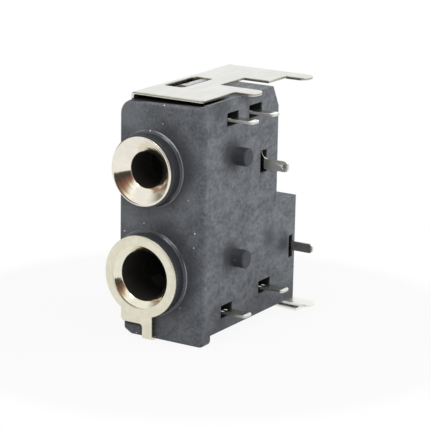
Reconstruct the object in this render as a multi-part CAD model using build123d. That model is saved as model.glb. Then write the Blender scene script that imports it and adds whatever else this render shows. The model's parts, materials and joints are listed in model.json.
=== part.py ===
from build123d import *
from dataclasses import dataclass
import os

# Twin audio socket for a circuit board that stands upright beside it.
# A 2.5 mm socket sits above a 3.5 mm socket in one stepped moulding.
# Sizes are in millimetres. X runs towards the board, Y goes into the sockets, Z is up.
# The origin is on the lower socket's axis, in the outer face of the front wall.

# Sockets
LOWER_BORE_R = 1.8
UPPER_BORE_R = 1.3
BORE_PITCH = 7.5
MOUTH_OUT = 1.24

# Moulded housing
BOARD_FACE_X = 4.45
FAR_FACE_X = -2.6
FAR_FACE_LOW_X = -2.22
NECK_TOP_Z = -0.6
NECK_END_Z = -1.3
FRONT_WALL = 0.96
TOP_ABOVE_AXIS = 4.9
STEP_Z = 3.75
BODY_BOTTOM_Z = -4.04
FOOT_DROP = 0.72
UPPER_DEPTH = 9.66
LOWER_DEPTH = 12.49
REAR_CHAMFER_Y = 0.79
REAR_CHAMFER_Z = 1.5
REAR_DRAFT = 0.08
CROWN_R = 1.05
FOOT_CORNER_R = 0.42
FOOT_CUT_X = 0.62
FOOT_CUT_Z = 0.34
FOOT_CUT_R = 0.26
CROWN_DROP = 0.28
CROWN_GAP_END_X = 4.25
CROWN_RISE_W = 0.2
CROWN_RAMP_START_Y = 2.2
CROWN_RAMP_END_Y = 4.2
RECESS_FLOOR_BELOW_TOP = 3.0

# Collars round the two mouths
UPPER_COLLAR_R = 2.55
LOWER_COLLAR_R = 2.95
COLLAR_FILLET = 0.13
COLLAR_BASE_W = 0.18
COLLAR_BASE_H = 0.07
COLLAR_BASE_EDGE_R = 0.04
WALL_EDGE_R = 0.22

# Locating pegs on the board face
PEG_R = 0.65
PEG_LENGTH = 0.88
PEG_Y = 4.28
UPPER_PEG_ABOVE_AXIS = 0.7
LOWER_PEG_Z = 0.87
PEG_EDGE_R = 0.12

# Turned and drawn metal mouths
UPPER_FLANGE_INSET = 0.1
UPPER_CONE_R = 2.33
UPPER_CONE_DEPTH = 0.75
LOWER_FLANGE_INSET = 0.01
LOWER_CONE_R = 2.28
LOWER_CONE_DEPTH = 0.42
FLANGE_T = 0.25
TUBE_WALL = 0.2
TUBE_END_Y = 2.1
RIM_ROUND = 0.3
SEAT_GAP = 0.02

# Sheet metal
SHEET_T = 0.2
BEND_R = 0.16

# Tab and strap of the lower mouth
STRAP_FAR_X = -0.485
STRAP_BOARD_X = 0.33
STRAP_GAP = 0.01
STRAP_BEND_R = 0.13
STRAP_LINK_LIFT = 0.04
FOOT_GROOVE = 0.1
TAB_FAR_X = -2.27
TAB_BOTTOM_Z = -3.78
TAB_CLEAR = 0.02
TAB_CORNER = 0.2
TAB_INNER_R = 0.25
BASE_LEG_W = 1.3
BASE_LEG_FROM_REAR = 0.09
BASE_LEG_OUT = 2.05
BASE_LUG_W = 1.35
BASE_LUG_OUT = 1.2
BASE_LUG_LAP = 0.3
BASE_LUG_DROOP = 0.08
BASE_LUG_ROOT_X = 1.2

# Ground plate over the top
PLATE_FAR_X = -2.13
PLATE_BOARD_X = 3.8
PLATE_FRONT_Y = 0.7
NOTCH_Y = 6.15
NECK_BOARD_X = 1.61
TAIL_Y = 9.5
TAIL_BOARD_X = 3.7
TAIL_FAR_X = -1.92
PLATE_PAST_REAR = 0.76
FRONT_LEG_W = 1.5
REAR_LEG_W = 1.45
PLATE_LEG_OUT = 0.95
LEG_TIP_ROUND = 0.4
PLATE_CORNER_R = 0.12
HOLE_FAR_X = -1.5
HOLE_BOARD_X = 0.16
HOLE_FRONT_Y = 3.68
HOLE_END_Y = 7.78
HOLE_CORNER_R = 0.35
SLOT_BOARD_X = -1.17
SLOT_FRONT_Y = 3.9
SLOT_DEPTH = 1.1
SLOT_END_GAP = 0.18
SKIRT_DROP = 2.75
SKIRT_WALL_GAP = 0.05
SKIRT_END_Y = 11.0
SKIRT_BEND_R = 0.25
FINGER_Y = 4.4
FINGER_W = 0.9

# Stamped contacts
PIN_OUT = 1.95
PIN_TIP_R = 0.22
UPRIGHT_PIN_OUT = 1.87
UPRIGHT_TIP_R = 0.3
WEB_X = 2.5
WEB_T = 0.6
WEB_GAP = 0.02
WEB_LAP = 0.1
BUMP_REACH = 0.22
ARM_RISE = 1.1
ARM_ROOT_X = 2.05
ARM_TAIL_X = 0.85
ARM_TAIL_LIFT = 0.55
UPRIGHT_TAIL_SHARE = 0.7
FINGER_TAIL_SHARE = 0.6
POCKET_SIDE_GAP = 0.15
POCKET_END_GAP = 0.3
POCKET_IN_BORE = 0.6
DIMPLE_R = 0.16
DIMPLE_DEPTH = 0.06
DIMPLE_FROM_TIP = 0.36
SHOULDER_OUT = 0.2
SHOULDER_ROUND = 0.9
CUT_PAST = 1.0
NEAR = 0.01
FLAT_WINDOW_BELOW = 0.44
FLAT_WINDOW_ABOVE = 0.5

# Flat pins, by the depth of their front edge and their height over or under the bore's axis
UPPER_SLEEVE_PIN_Y = 2.87
UPPER_SLEEVE_PIN_W = 0.98
UPPER_SLEEVE_PIN_RISE = 3.47
UPPER_SLEEVE_WINDOW_FRONT = 0.15
UPPER_SLEEVE_WINDOW_BACK = 0.39
UPPER_RING_PIN_Y = 5.7
UPPER_RING_PIN_W = 0.92
UPPER_RING_PIN_RISE = 3.54
UPPER_RING_WINDOW_FRONT = 0.08
UPPER_RING_WINDOW_BACK = 0.73
LOWER_SLEEVE_PIN_Y = 2.42
LOWER_SLEEVE_PIN_W = 0.95
LOWER_SLEEVE_PIN_DROP = 2.71
LOWER_SLEEVE_WINDOW_FRONT = 0.1
LOWER_SLEEVE_WINDOW_BACK = 0.43
LOWER_RING_PIN_Y = 7.48
LOWER_RING_PIN_W = 1.0
LOWER_RING_PIN_DROP = 2.14
LOWER_RING_WINDOW_FRONT = 0.12
LOWER_RING_WINDOW_BACK = 0.52

# Upright pins, by their distance from the rear face and their limits about the bore's axis
UPPER_TIP_FROM_REAR = 1.61
UPPER_TIP_PIN_LOW = -0.97
UPPER_TIP_PIN_HIGH = -0.2
UPPER_TIP_SHOULDER = 0.55
UPPER_TIP_ARM = 1.1
UPPER_TIP_WINDOW_FRONT = 0.78
UPPER_TIP_WINDOW_BACK = 0.13
UPPER_TIP_WINDOW_BELOW = 0.17
UPPER_TIP_WINDOW_ABOVE = 0.15
LOWER_TIP_FROM_REAR = 0.59
LOWER_TIP_PIN_LOW = -0.3
LOWER_TIP_PIN_HIGH = 0.39
LOWER_TIP_ARM = 1.8
LOWER_TIP_WINDOW_FRONT = 0.3
LOWER_TIP_WINDOW_BACK = 0.25
LOWER_TIP_WINDOW_BELOW = 0.57
LOWER_TIP_WINDOW_ABOVE = 0.43

# Places worked out from the sizes above
UPPER_AXIS_Z = BORE_PITCH
TOP_Z = UPPER_AXIS_Z + TOP_ABOVE_AXIS
CROWN_Z = TOP_Z - CROWN_DROP
FOOT_Z = BODY_BOTTOM_Z - FOOT_DROP
COLLAR_FRONT_Y = FLANGE_T - MOUTH_OUT
UPPER_FLANGE_R = UPPER_COLLAR_R - UPPER_FLANGE_INSET
LOWER_FLANGE_R = LOWER_COLLAR_R - LOWER_FLANGE_INSET
BASE_LEG_END_Y = LOWER_DEPTH - BASE_LEG_FROM_REAR
PLATE_END_Y = LOWER_DEPTH + PLATE_PAST_REAR
RECESS_X = PLATE_FAR_X + SHEET_T
RECESS_Z = TOP_Z - RECESS_FLOOR_BELOW_TOP
WINDOW_FLOOR_X = WEB_X + WEB_T


@dataclass
class FlatContact:
    """A contact whose pin lies flat, with a springy arm over or under its bore."""

    name: str
    bore_z: float
    bore_r: float
    side: int
    pin_y: float
    pin_w: float
    pin_from_axis: float
    window_front: float
    window_back: float

    @property
    def pin_z(self):
        return self.bore_z + self.side * self.pin_from_axis


@dataclass
class UprightContact:
    """A contact whose pin stands on edge, with a springy arm beside its bore."""

    name: str
    bore_z: float
    bore_r: float
    pin_y: float
    pin_low: float
    pin_high: float
    shoulder: float
    arm: float
    window_front: float
    window_back: float
    window_below: float
    window_above: float


UPPER_SLEEVE = FlatContact(
    name="upper_sleeve_contact",
    bore_z=UPPER_AXIS_Z,
    bore_r=UPPER_BORE_R,
    side=1,
    pin_y=UPPER_SLEEVE_PIN_Y,
    pin_w=UPPER_SLEEVE_PIN_W,
    pin_from_axis=UPPER_SLEEVE_PIN_RISE,
    window_front=UPPER_SLEEVE_WINDOW_FRONT,
    window_back=UPPER_SLEEVE_WINDOW_BACK,
)

UPPER_RING = FlatContact(
    name="upper_ring_contact",
    bore_z=UPPER_AXIS_Z,
    bore_r=UPPER_BORE_R,
    side=1,
    pin_y=UPPER_RING_PIN_Y,
    pin_w=UPPER_RING_PIN_W,
    pin_from_axis=UPPER_RING_PIN_RISE,
    window_front=UPPER_RING_WINDOW_FRONT,
    window_back=UPPER_RING_WINDOW_BACK,
)

LOWER_SLEEVE = FlatContact(
    name="lower_sleeve_contact",
    bore_z=0,
    bore_r=LOWER_BORE_R,
    side=-1,
    pin_y=LOWER_SLEEVE_PIN_Y,
    pin_w=LOWER_SLEEVE_PIN_W,
    pin_from_axis=LOWER_SLEEVE_PIN_DROP,
    window_front=LOWER_SLEEVE_WINDOW_FRONT,
    window_back=LOWER_SLEEVE_WINDOW_BACK,
)

LOWER_RING = FlatContact(
    name="lower_ring_contact",
    bore_z=0,
    bore_r=LOWER_BORE_R,
    side=-1,
    pin_y=LOWER_RING_PIN_Y,
    pin_w=LOWER_RING_PIN_W,
    pin_from_axis=LOWER_RING_PIN_DROP,
    window_front=LOWER_RING_WINDOW_FRONT,
    window_back=LOWER_RING_WINDOW_BACK,
)

UPPER_TIP = UprightContact(
    name="upper_tip_contact",
    bore_z=UPPER_AXIS_Z,
    bore_r=UPPER_BORE_R,
    pin_y=UPPER_DEPTH - UPPER_TIP_FROM_REAR,
    pin_low=UPPER_TIP_PIN_LOW,
    pin_high=UPPER_TIP_PIN_HIGH,
    shoulder=UPPER_TIP_SHOULDER,
    arm=UPPER_TIP_ARM,
    window_front=UPPER_TIP_WINDOW_FRONT,
    window_back=UPPER_TIP_WINDOW_BACK,
    window_below=UPPER_TIP_WINDOW_BELOW,
    window_above=UPPER_TIP_WINDOW_ABOVE,
)

LOWER_TIP = UprightContact(
    name="lower_tip_contact",
    bore_z=0,
    bore_r=LOWER_BORE_R,
    pin_y=LOWER_DEPTH - LOWER_TIP_FROM_REAR,
    pin_low=LOWER_TIP_PIN_LOW,
    pin_high=LOWER_TIP_PIN_HIGH,
    shoulder=0,
    arm=LOWER_TIP_ARM,
    window_front=LOWER_TIP_WINDOW_FRONT,
    window_back=LOWER_TIP_WINDOW_BACK,
    window_below=LOWER_TIP_WINDOW_BELOW,
    window_above=LOWER_TIP_WINDOW_ABOVE,
)

FLAT_CONTACTS = [UPPER_SLEEVE, UPPER_RING, LOWER_SLEEVE, LOWER_RING]
UPRIGHT_CONTACTS = [UPPER_TIP, LOWER_TIP]


def block(x, y, z):
    """A box between two limits on each axis."""
    size = Box(x[1] - x[0], y[1] - y[0], z[1] - z[0])
    return Pos((x[0] + x[1]) / 2, (y[0] + y[1]) / 2, (z[0] + z[1]) / 2) * size


def rod(radius, x, y, z):
    """A round rod along the one axis on which two limits are given."""
    if isinstance(x, tuple):
        return Pos((x[0] + x[1]) / 2, y, z) * Rot(0, 90, 0) * Cylinder(radius, x[1] - x[0])
    return Pos(x, (y[0] + y[1]) / 2, z) * Rot(90, 0, 0) * Cylinder(radius, y[1] - y[0])


def across_x(face, start, end):
    """Thicken a face drawn on (Y, Z) between two places along X."""
    return Pos(start, 0, 0) * extrude(Plane.YZ * face, amount=end - start)


def across_y(face, start, end):
    """Thicken a face drawn on (X, Z) between two places along Y."""
    return Pos(0, end, 0) * extrude(Plane.XZ * face, amount=end - start)


def across_z(face, start, end):
    """Thicken a face drawn on (X, Y) between two places along Z."""
    return Pos(0, 0, start) * extrude(face, amount=end - start)


def polygon(*points):
    """A flat face from its corner points."""
    return make_face(Polyline(*points, close=True))


def strip(*points, radius=BEND_R):
    """The edge view of a bent metal strip along a centre line."""
    return trace(FilletPolyline(*points, radius=radius), line_width=SHEET_T)


def turned(points, axis_z):
    """Spin a half section, drawn as (radius, depth), round a socket's axis."""
    section = polygon(*points)
    return Pos(0, 0, axis_z) * revolve(section, Axis.Y)


def mouth(axis_z, bore_r, flange_r, cone_r, cone_depth):
    """One metal mouth: a flange, a countersink and a thin tube."""
    tube_r = bore_r + TUBE_WALL
    back_y = COLLAR_FRONT_Y
    throat_y = cone_depth - MOUTH_OUT
    shell = turned(
        [
            (cone_r, -MOUTH_OUT),
            (flange_r, -MOUTH_OUT),
            (flange_r, back_y),
            (cone_back_r(bore_r, cone_r, cone_depth), back_y),
            (tube_r, throat_y),
            (tube_r, TUBE_END_Y),
            (bore_r, TUBE_END_Y),
            (bore_r, throat_y),
        ],
        axis_z,
    )
    circles = shell.edges().filter_by(GeomType.CIRCLE)
    rim = circles.filter_by(lambda edge: abs(edge.radius - flange_r) < NEAR)
    return fillet(rim, FLANGE_T * RIM_ROUND)


def cone_back_r(bore_r, cone_r, cone_depth):
    """The radius where the back of the countersink, parallel to its front, leaves the flange."""
    return cone_r - FLANGE_T / cone_depth * (cone_r - bore_r) + TUBE_WALL


def mouth_seat(axis_z, bore_r, cone_r, cone_depth):
    """The hollow that a metal mouth and its tube fill, with a small gap all round."""
    back_y = COLLAR_FRONT_Y
    throat_y = cone_depth - MOUTH_OUT
    gap = SEAT_GAP
    return turned(
        [
            (0, back_y),
            (cone_back_r(bore_r, cone_r, cone_depth) + gap, back_y),
            (bore_r + TUBE_WALL + gap, throat_y),
            (bore_r + TUBE_WALL + gap, TUBE_END_Y + gap),
            (0, TUBE_END_Y + gap),
        ],
        axis_z,
    )


def front_wall():
    """The tall front wall, with its rounded crown corner and its foot."""
    face = polygon(
        (BOARD_FACE_X, FOOT_Z),
        (BOARD_FACE_X, TOP_Z),
        (CROWN_GAP_END_X, TOP_Z),
        (CROWN_GAP_END_X - CROWN_RISE_W, CROWN_Z),
        (FAR_FACE_X, CROWN_Z),
        (FAR_FACE_X, NECK_TOP_Z),
        (FAR_FACE_LOW_X, NECK_END_Z),
        (FAR_FACE_LOW_X, FOOT_Z + FOOT_CUT_Z),
        (FAR_FACE_LOW_X + FOOT_CUT_X, FOOT_Z),
    )
    crown = face.vertices().filter_by_position(Axis.Y, CROWN_Z - NEAR, CROWN_Z + NEAR)
    face = fillet(crown.sort_by(Axis.X)[0], CROWN_R)
    foot = face.vertices().filter_by_position(Axis.Y, FOOT_Z - NEAR, FOOT_Z + FOOT_CUT_Z + NEAR)
    face = fillet(foot.sort_by(Axis.X)[:2], FOOT_CUT_R)
    board_corner = face.vertices().filter_by_position(Axis.Y, FOOT_Z - NEAR, FOOT_Z + NEAR)
    face = fillet(board_corner.sort_by(Axis.X)[-1], FOOT_CORNER_R)
    wall = across_y(face, 0, FRONT_WALL)
    rim = wall.faces().sort_by(Axis.Y)[0].edges()
    long_edges = rim.filter_by(lambda edge: edge.length > CROWN_RISE_W * 2)
    return fillet(long_edges, WALL_EDGE_R)


def body_block():
    """The stepped block behind the front wall."""
    side = polygon(
        (FRONT_WALL / 2, BODY_BOTTOM_Z),
        (LOWER_DEPTH - REAR_DRAFT, BODY_BOTTOM_Z),
        (LOWER_DEPTH, STEP_Z),
        (UPPER_DEPTH, STEP_Z),
        (UPPER_DEPTH, TOP_Z - REAR_CHAMFER_Z),
        (UPPER_DEPTH - REAR_CHAMFER_Y, TOP_Z),
        (FRONT_WALL / 2, TOP_Z),
    )
    return across_x(side, FAR_FACE_X, BOARD_FACE_X)


def collar(axis_z, radius):
    """A round collar on the front wall, flared at its base, that carries a metal mouth."""
    shape = turned(
        [
            (0, COLLAR_FRONT_Y),
            (radius, COLLAR_FRONT_Y),
            (radius, -COLLAR_BASE_H - COLLAR_FILLET),
            (radius + COLLAR_FILLET, -COLLAR_BASE_H),
            (radius + COLLAR_FILLET, 0),
            (0, 0),
        ],
        axis_z,
    )
    return shape + collar_base(axis_z, radius + COLLAR_BASE_W)


def collar_base(axis_z, radius):
    """The low round pad under a collar, cut off where the wall's far edge starts to round."""
    disc = rod(radius, 0, (-COLLAR_BASE_H, 0), axis_z)
    disc = fillet(disc.edges().sort_by(Axis.Y)[0], COLLAR_BASE_EDGE_R)
    x = (FAR_FACE_LOW_X + WALL_EDGE_R, BOARD_FACE_X)
    return disc & block(x, (-COLLAR_BASE_H, 0), (axis_z - radius, axis_z + radius))


def peg(axis_z):
    """A locating peg for a hole in the board."""
    shape = rod(PEG_R, (BOARD_FACE_X, BOARD_FACE_X + PEG_LENGTH), PEG_Y, axis_z)
    return fillet(shape.edges().sort_by(Axis.X)[-1], PEG_EDGE_R)


def pocket_span(spec):
    """The front and back of a flat contact's pocket."""
    return spec.pin_y - POCKET_SIDE_GAP, spec.pin_y + spec.pin_w + POCKET_SIDE_GAP


def arm_root_z(spec):
    """The height where a flat contact's arm starts."""
    return spec.bore_z + spec.side * (spec.bore_r + ARM_RISE)


def flat_pocket(spec):
    """The window, the tight slot and the spring pocket of a flat contact."""
    z = (spec.pin_z - FLAT_WINDOW_BELOW, spec.pin_z + FLAT_WINDOW_ABOVE)
    y = (spec.pin_y - spec.window_front, spec.pin_y + spec.pin_w + spec.window_back)
    window = block((WINDOW_FLOOR_X, BOARD_FACE_X + CUT_PAST), y, z)
    half = SHEET_T / 2 + WEB_GAP
    slot = block(
        (WEB_X - WEB_LAP, WINDOW_FLOOR_X + WEB_LAP),
        (spec.pin_y - WEB_GAP, spec.pin_y + spec.pin_w + WEB_GAP),
        (spec.pin_z - half, spec.pin_z + half),
    )
    reach = max(spec.pin_from_axis, spec.bore_r + ARM_RISE) + POCKET_END_GAP
    inner_z = spec.bore_z + spec.side * spec.bore_r * POCKET_IN_BORE
    outer_z = spec.bore_z + spec.side * reach
    height = (min(inner_z, outer_z), max(inner_z, outer_z))
    pocket = block((FAR_FACE_X - CUT_PAST, WEB_X), pocket_span(spec), height)
    return window + slot + pocket


def flat_contact(spec):
    """A flat pin, a step to the arm's root, and an arm with a bump in the bore."""
    touch = spec.bore_z + spec.side * (spec.bore_r - BUMP_REACH + SHEET_T / 2)
    tail = touch + spec.side * ARM_TAIL_LIFT
    edge_view = strip(
        (BOARD_FACE_X + PIN_OUT, spec.pin_z),
        (WEB_X - SHEET_T, spec.pin_z),
        (ARM_ROOT_X, arm_root_z(spec)),
        (0, touch),
        (-ARM_TAIL_X, tail),
    )
    shape = across_y(edge_view, spec.pin_y, spec.pin_y + spec.pin_w)
    return fillet(tip_corners(shape, Axis.Z), PIN_TIP_R)


def tip_corners(shape, axis):
    """The two short edges at the free end of a pin."""
    return shape.edges().filter_by(axis).sort_by(Axis.X)[-2:]


def upright_limits(spec):
    """The lowest and highest points of an upright contact behind its window."""
    return spec.bore_z + spec.pin_low, spec.bore_z + spec.pin_high + spec.shoulder


def upright_pocket(spec):
    """The window, the tight slot and the rear pocket of an upright contact."""
    low, high = upright_limits(spec)
    window = block(
        (WINDOW_FLOOR_X, BOARD_FACE_X + CUT_PAST),
        (spec.pin_y - spec.window_front, spec.pin_y + spec.window_back),
        (low - spec.window_below, high + spec.window_above),
    )
    half = SHEET_T / 2 + WEB_GAP
    slot = block(
        (WEB_X - WEB_LAP, WINDOW_FLOOR_X + WEB_LAP),
        (spec.pin_y - half, spec.pin_y + half),
        (low - WEB_GAP, high + WEB_GAP),
    )
    front_y = spec.pin_y - spec.arm - ARM_TAIL_X - POCKET_END_GAP
    pocket = block(
        (spec.bore_r * POCKET_IN_BORE, WEB_X),
        (front_y, LOWER_DEPTH + CUT_PAST),
        (low - POCKET_SIDE_GAP, high + POCKET_SIDE_GAP),
    )
    return window + slot + pocket


def upright_contact(spec):
    """A pin on edge, with an arm that runs forward beside the bore to a bump."""
    low, high = upright_limits(spec)
    touch = spec.bore_r - BUMP_REACH + SHEET_T / 2
    root_x = WEB_X - SHEET_T
    bump_y = spec.pin_y - spec.arm
    edge_view = strip(
        (BOARD_FACE_X + UPRIGHT_PIN_OUT, spec.pin_y),
        (root_x, spec.pin_y),
        (root_x - SHEET_T / 2, (spec.pin_y + bump_y) / 2),
        (touch, bump_y),
        (touch + ARM_TAIL_LIFT * UPRIGHT_TAIL_SHARE, bump_y - ARM_TAIL_X * UPRIGHT_TAIL_SHARE),
    )
    shape = across_z(edge_view, low, high)
    if spec.shoulder > 0:
        shape = shape - shoulder_cut(spec) - tip_dimple(spec)
    return fillet(tip_corners(shape, Axis.Y), UPRIGHT_TIP_R)


def shoulder_cut(spec):
    """The corner that is cut out above a pin, with a round where the pin meets its arm."""
    _, high = upright_limits(spec)
    round_r = spec.shoulder * SHOULDER_ROUND
    end = BOARD_FACE_X + UPRIGHT_PIN_OUT + CUT_PAST
    cut = block(
        (BOARD_FACE_X + SHOULDER_OUT - round_r, end),
        (spec.pin_y - SHEET_T, spec.pin_y + SHEET_T),
        (spec.bore_z + spec.pin_high, high + CUT_PAST),
    )
    low_edges = cut.edges().filter_by(Axis.Y).sort_by(Axis.Z)[:2]
    return fillet(low_edges.sort_by(Axis.X)[0], round_r)


def tip_dimple(spec):
    """The small round dimple that is punched near the end of a pin."""
    x = BOARD_FACE_X + UPRIGHT_PIN_OUT - DIMPLE_FROM_TIP
    z = spec.bore_z + (spec.pin_low + spec.pin_high) / 2
    face_y = spec.pin_y - SHEET_T / 2
    return rod(DIMPLE_R, x, (face_y - CUT_PAST, face_y + DIMPLE_DEPTH), z)


def strap_groove():
    """The flat that lets the strap pass under the lower collar."""
    y = (COLLAR_FRONT_Y, 0)
    return block(strap_slot_x(), y, (-LOWER_COLLAR_R - CUT_PAST, strap_top_z() + SEAT_GAP))


def foot_groove():
    """The shallow groove under the foot that the strap is folded into."""
    y = (-CUT_PAST, FRONT_WALL + CUT_PAST)
    return block(strap_slot_x(), y, (FOOT_Z - CUT_PAST, FOOT_Z + FOOT_GROOVE))


def strap_slot_x():
    """The two sides of a groove that the strap fits."""
    return STRAP_FAR_X - SEAT_GAP * 2, STRAP_BOARD_X + SEAT_GAP * 2


def strap_top_z():
    """The upper face of the strap where it passes under the collar."""
    return -LOWER_FLANGE_R + SHEET_T + STRAP_LINK_LIFT


def crown_gap():
    """The low gap under the front of the ground plate, which ramps up towards the rear."""
    front = polygon(
        (FAR_FACE_X - CUT_PAST, CROWN_Z),
        (CROWN_GAP_END_X - CROWN_RISE_W, CROWN_Z),
        (CROWN_GAP_END_X, TOP_Z),
        (CROWN_GAP_END_X, TOP_Z + CUT_PAST),
        (FAR_FACE_X - CUT_PAST, TOP_Z + CUT_PAST),
    )
    side = polygon(
        (-CUT_PAST, CROWN_Z),
        (CROWN_RAMP_START_Y, CROWN_Z),
        (CROWN_RAMP_END_Y, TOP_Z),
        (CROWN_RAMP_END_Y, TOP_Z + CUT_PAST),
        (-CUT_PAST, TOP_Z + CUT_PAST),
    )
    along = across_y(front, -CUT_PAST, CROWN_RAMP_END_Y)
    return along & across_x(side, FAR_FACE_X - CUT_PAST, BOARD_FACE_X)


def crown_recess():
    """The long recess beside the crown that takes the ground plate's skirt and its bend."""
    corner = SKIRT_BEND_R - SHEET_T / 2 + SEAT_GAP
    face = polygon(
        (FAR_FACE_X - CUT_PAST, RECESS_Z),
        (RECESS_X, RECESS_Z),
        (RECESS_X, TOP_Z - corner),
        (RECESS_X + corner, TOP_Z),
        (RECESS_X + corner, TOP_Z + CUT_PAST),
        (FAR_FACE_X - CUT_PAST, TOP_Z + CUT_PAST),
    )
    return across_y(face, 0, LOWER_DEPTH)


def ground_slots():
    """The slot under the plate's hole, and the pocket for its finger."""
    slot = block(
        (RECESS_X - CUT_PAST, SLOT_BOARD_X),
        (SLOT_FRONT_Y, HOLE_END_Y - SLOT_END_GAP),
        (TOP_Z - SLOT_DEPTH, TOP_Z + CUT_PAST),
    )
    y = (FINGER_Y - POCKET_SIDE_GAP, FINGER_Y + FINGER_W + POCKET_SIDE_GAP)
    base = UPPER_AXIS_Z + UPPER_BORE_R
    x = (FAR_FACE_X - CUT_PAST, ARM_TAIL_X + POCKET_END_GAP)
    pocket = block(x, y, (UPPER_AXIS_Z + UPPER_BORE_R * POCKET_IN_BORE, base + ARM_RISE))
    return slot + pocket


def housing():
    """The one-piece moulding that carries everything else."""
    shape = front_wall() + (body_block() - crown_recess())
    shape -= crown_gap()
    shape += collar(0, LOWER_COLLAR_R) + collar(UPPER_AXIS_Z, UPPER_COLLAR_R)
    shape += peg(LOWER_PEG_Z) + peg(UPPER_AXIS_Z + UPPER_PEG_ABOVE_AXIS)
    shape -= mouth_seat(0, LOWER_BORE_R, LOWER_CONE_R, LOWER_CONE_DEPTH)
    shape -= mouth_seat(UPPER_AXIS_Z, UPPER_BORE_R, UPPER_CONE_R, UPPER_CONE_DEPTH)
    shape -= rod(LOWER_BORE_R, 0, (0, LOWER_DEPTH + CUT_PAST), 0)
    shape -= rod(UPPER_BORE_R, 0, (0, UPPER_DEPTH + CUT_PAST), UPPER_AXIS_Z)
    shape -= strap_groove() + foot_groove()
    shape -= ground_slots()
    for spec in FLAT_CONTACTS:
        shape -= flat_pocket(spec)
    for spec in UPRIGHT_CONTACTS:
        shape -= upright_pocket(spec)
    return shape


def upper_mouth():
    """The flared metal mouth of the upper socket."""
    return mouth(UPPER_AXIS_Z, UPPER_BORE_R, UPPER_FLANGE_R, UPPER_CONE_R, UPPER_CONE_DEPTH)


def tab_plate():
    """The tab on the front wall, cut round the collar, with the strap below it."""
    foot = FOOT_Z + FOOT_GROOVE
    face = polygon(
        (STRAP_BOARD_X, strap_top_z()),
        (STRAP_BOARD_X, foot),
        (STRAP_FAR_X, foot),
        (STRAP_FAR_X, TAB_BOTTOM_Z),
        (TAB_FAR_X + TAB_CORNER, TAB_BOTTOM_Z),
        (TAB_FAR_X, TAB_BOTTOM_Z + TAB_CORNER),
        (TAB_FAR_X, -LOWER_COLLAR_R / 2),
        (STRAP_FAR_X, -LOWER_COLLAR_R / 2),
        (STRAP_FAR_X, strap_top_z()),
    )
    plate = across_y(face, -SHEET_T - STRAP_GAP, -STRAP_GAP)
    upright = plate.edges().filter_by(Axis.Y)
    inner = upright.filter_by_position(Axis.Z, TAB_BOTTOM_Z - NEAR, TAB_BOTTOM_Z + NEAR)
    plate = fillet(inner.sort_by(Axis.X)[-1], TAB_INNER_R)
    clear_r = LOWER_COLLAR_R + COLLAR_BASE_W + TAB_CLEAR
    y = (-CUT_PAST, CUT_PAST)
    hole = rod(clear_r, 0, y, 0) - block((STRAP_FAR_X, STRAP_BOARD_X), y, (-clear_r - CUT_PAST, 0))
    return plate - hole


def strap():
    """The bent strip that joins the mouth's flange to the base of the housing."""
    top = strap_top_z() - SHEET_T / 2
    front = -SHEET_T / 2 - STRAP_GAP
    under = FOOT_Z + FOOT_GROOVE - SHEET_T / 2 - STRAP_GAP
    base = BODY_BOTTOM_Z - SHEET_T / 2
    behind = FRONT_WALL + SHEET_T / 2 + STRAP_GAP
    edge_view = strip(
        (-MOUTH_OUT + SHEET_T / 2, -LOWER_FLANGE_R + SHEET_T * 2),
        (-MOUTH_OUT + SHEET_T / 2, top),
        (front, top),
        (front, under),
        (behind, under),
        (behind, base),
        (BASE_LEG_END_Y, base),
        radius=STRAP_BEND_R,
    )
    return across_x(edge_view, STRAP_FAR_X, STRAP_BOARD_X)


def base_leg():
    """The leg under the rear of the housing, and the shorter lug below it."""
    leg_y = (BASE_LEG_END_Y - BASE_LEG_W, BASE_LEG_END_Y)
    top = BODY_BOTTOM_Z
    leg = block((STRAP_FAR_X, BOARD_FACE_X + BASE_LEG_OUT), leg_y, (top - SHEET_T, top))
    end = leg.edges().filter_by(Axis.Z).sort_by(Axis.X)[-2:]
    leg = fillet(end, BASE_LEG_W * LEG_TIP_ROUND)
    low = top - SHEET_T
    side = polygon(
        (BASE_LUG_ROOT_X, low),
        (BOARD_FACE_X - BASE_LUG_OUT, low),
        (BOARD_FACE_X + BASE_LUG_OUT, low - BASE_LUG_DROOP),
        (BOARD_FACE_X + BASE_LUG_OUT, low - BASE_LUG_DROOP - SHEET_T),
        (BOARD_FACE_X - BASE_LUG_OUT, low - SHEET_T),
        (BASE_LUG_ROOT_X, low - SHEET_T),
    )
    start = leg_y[0] - BASE_LUG_LAP
    return leg + across_y(side, start, start + BASE_LUG_W)


def lower_mouth():
    """The ring of the lower socket with its tab, strap, leg and lug, all one sheet."""
    ring = mouth(0, LOWER_BORE_R, LOWER_FLANGE_R, LOWER_CONE_R, LOWER_CONE_DEPTH)
    return ring + tab_plate() + strap() + base_leg()


def plate_outline(fold_x):
    """The flat outline of the ground plate, with its notch and its two legs."""
    tip_x = BOARD_FACE_X + PLATE_LEG_OUT
    outline = polygon(
        (fold_x, PLATE_FRONT_Y),
        (PLATE_BOARD_X, PLATE_FRONT_Y),
        (PLATE_BOARD_X, NOTCH_Y - FRONT_LEG_W),
        (tip_x, NOTCH_Y - FRONT_LEG_W),
        (tip_x, NOTCH_Y),
        (NECK_BOARD_X, NOTCH_Y),
        (NECK_BOARD_X, TAIL_Y),
        (TAIL_BOARD_X, TAIL_Y),
        (TAIL_BOARD_X, PLATE_END_Y - REAR_LEG_W),
        (tip_x, PLATE_END_Y - REAR_LEG_W),
        (tip_x, PLATE_END_Y),
        (TAIL_FAR_X, PLATE_END_Y),
        (TAIL_FAR_X, SKIRT_END_Y),
        (fold_x, SKIRT_END_Y),
    )
    tips = outline.vertices().filter_by_position(Axis.X, tip_x - NEAR, tip_x + NEAR)
    outline = fillet(tips, min(FRONT_LEG_W, REAR_LEG_W) * LEG_TIP_ROUND)
    corners = outline.vertices().filter_by_position(Axis.X, NECK_BOARD_X - NEAR, PLATE_BOARD_X + NEAR)
    return fillet(corners, PLATE_CORNER_R)


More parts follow.
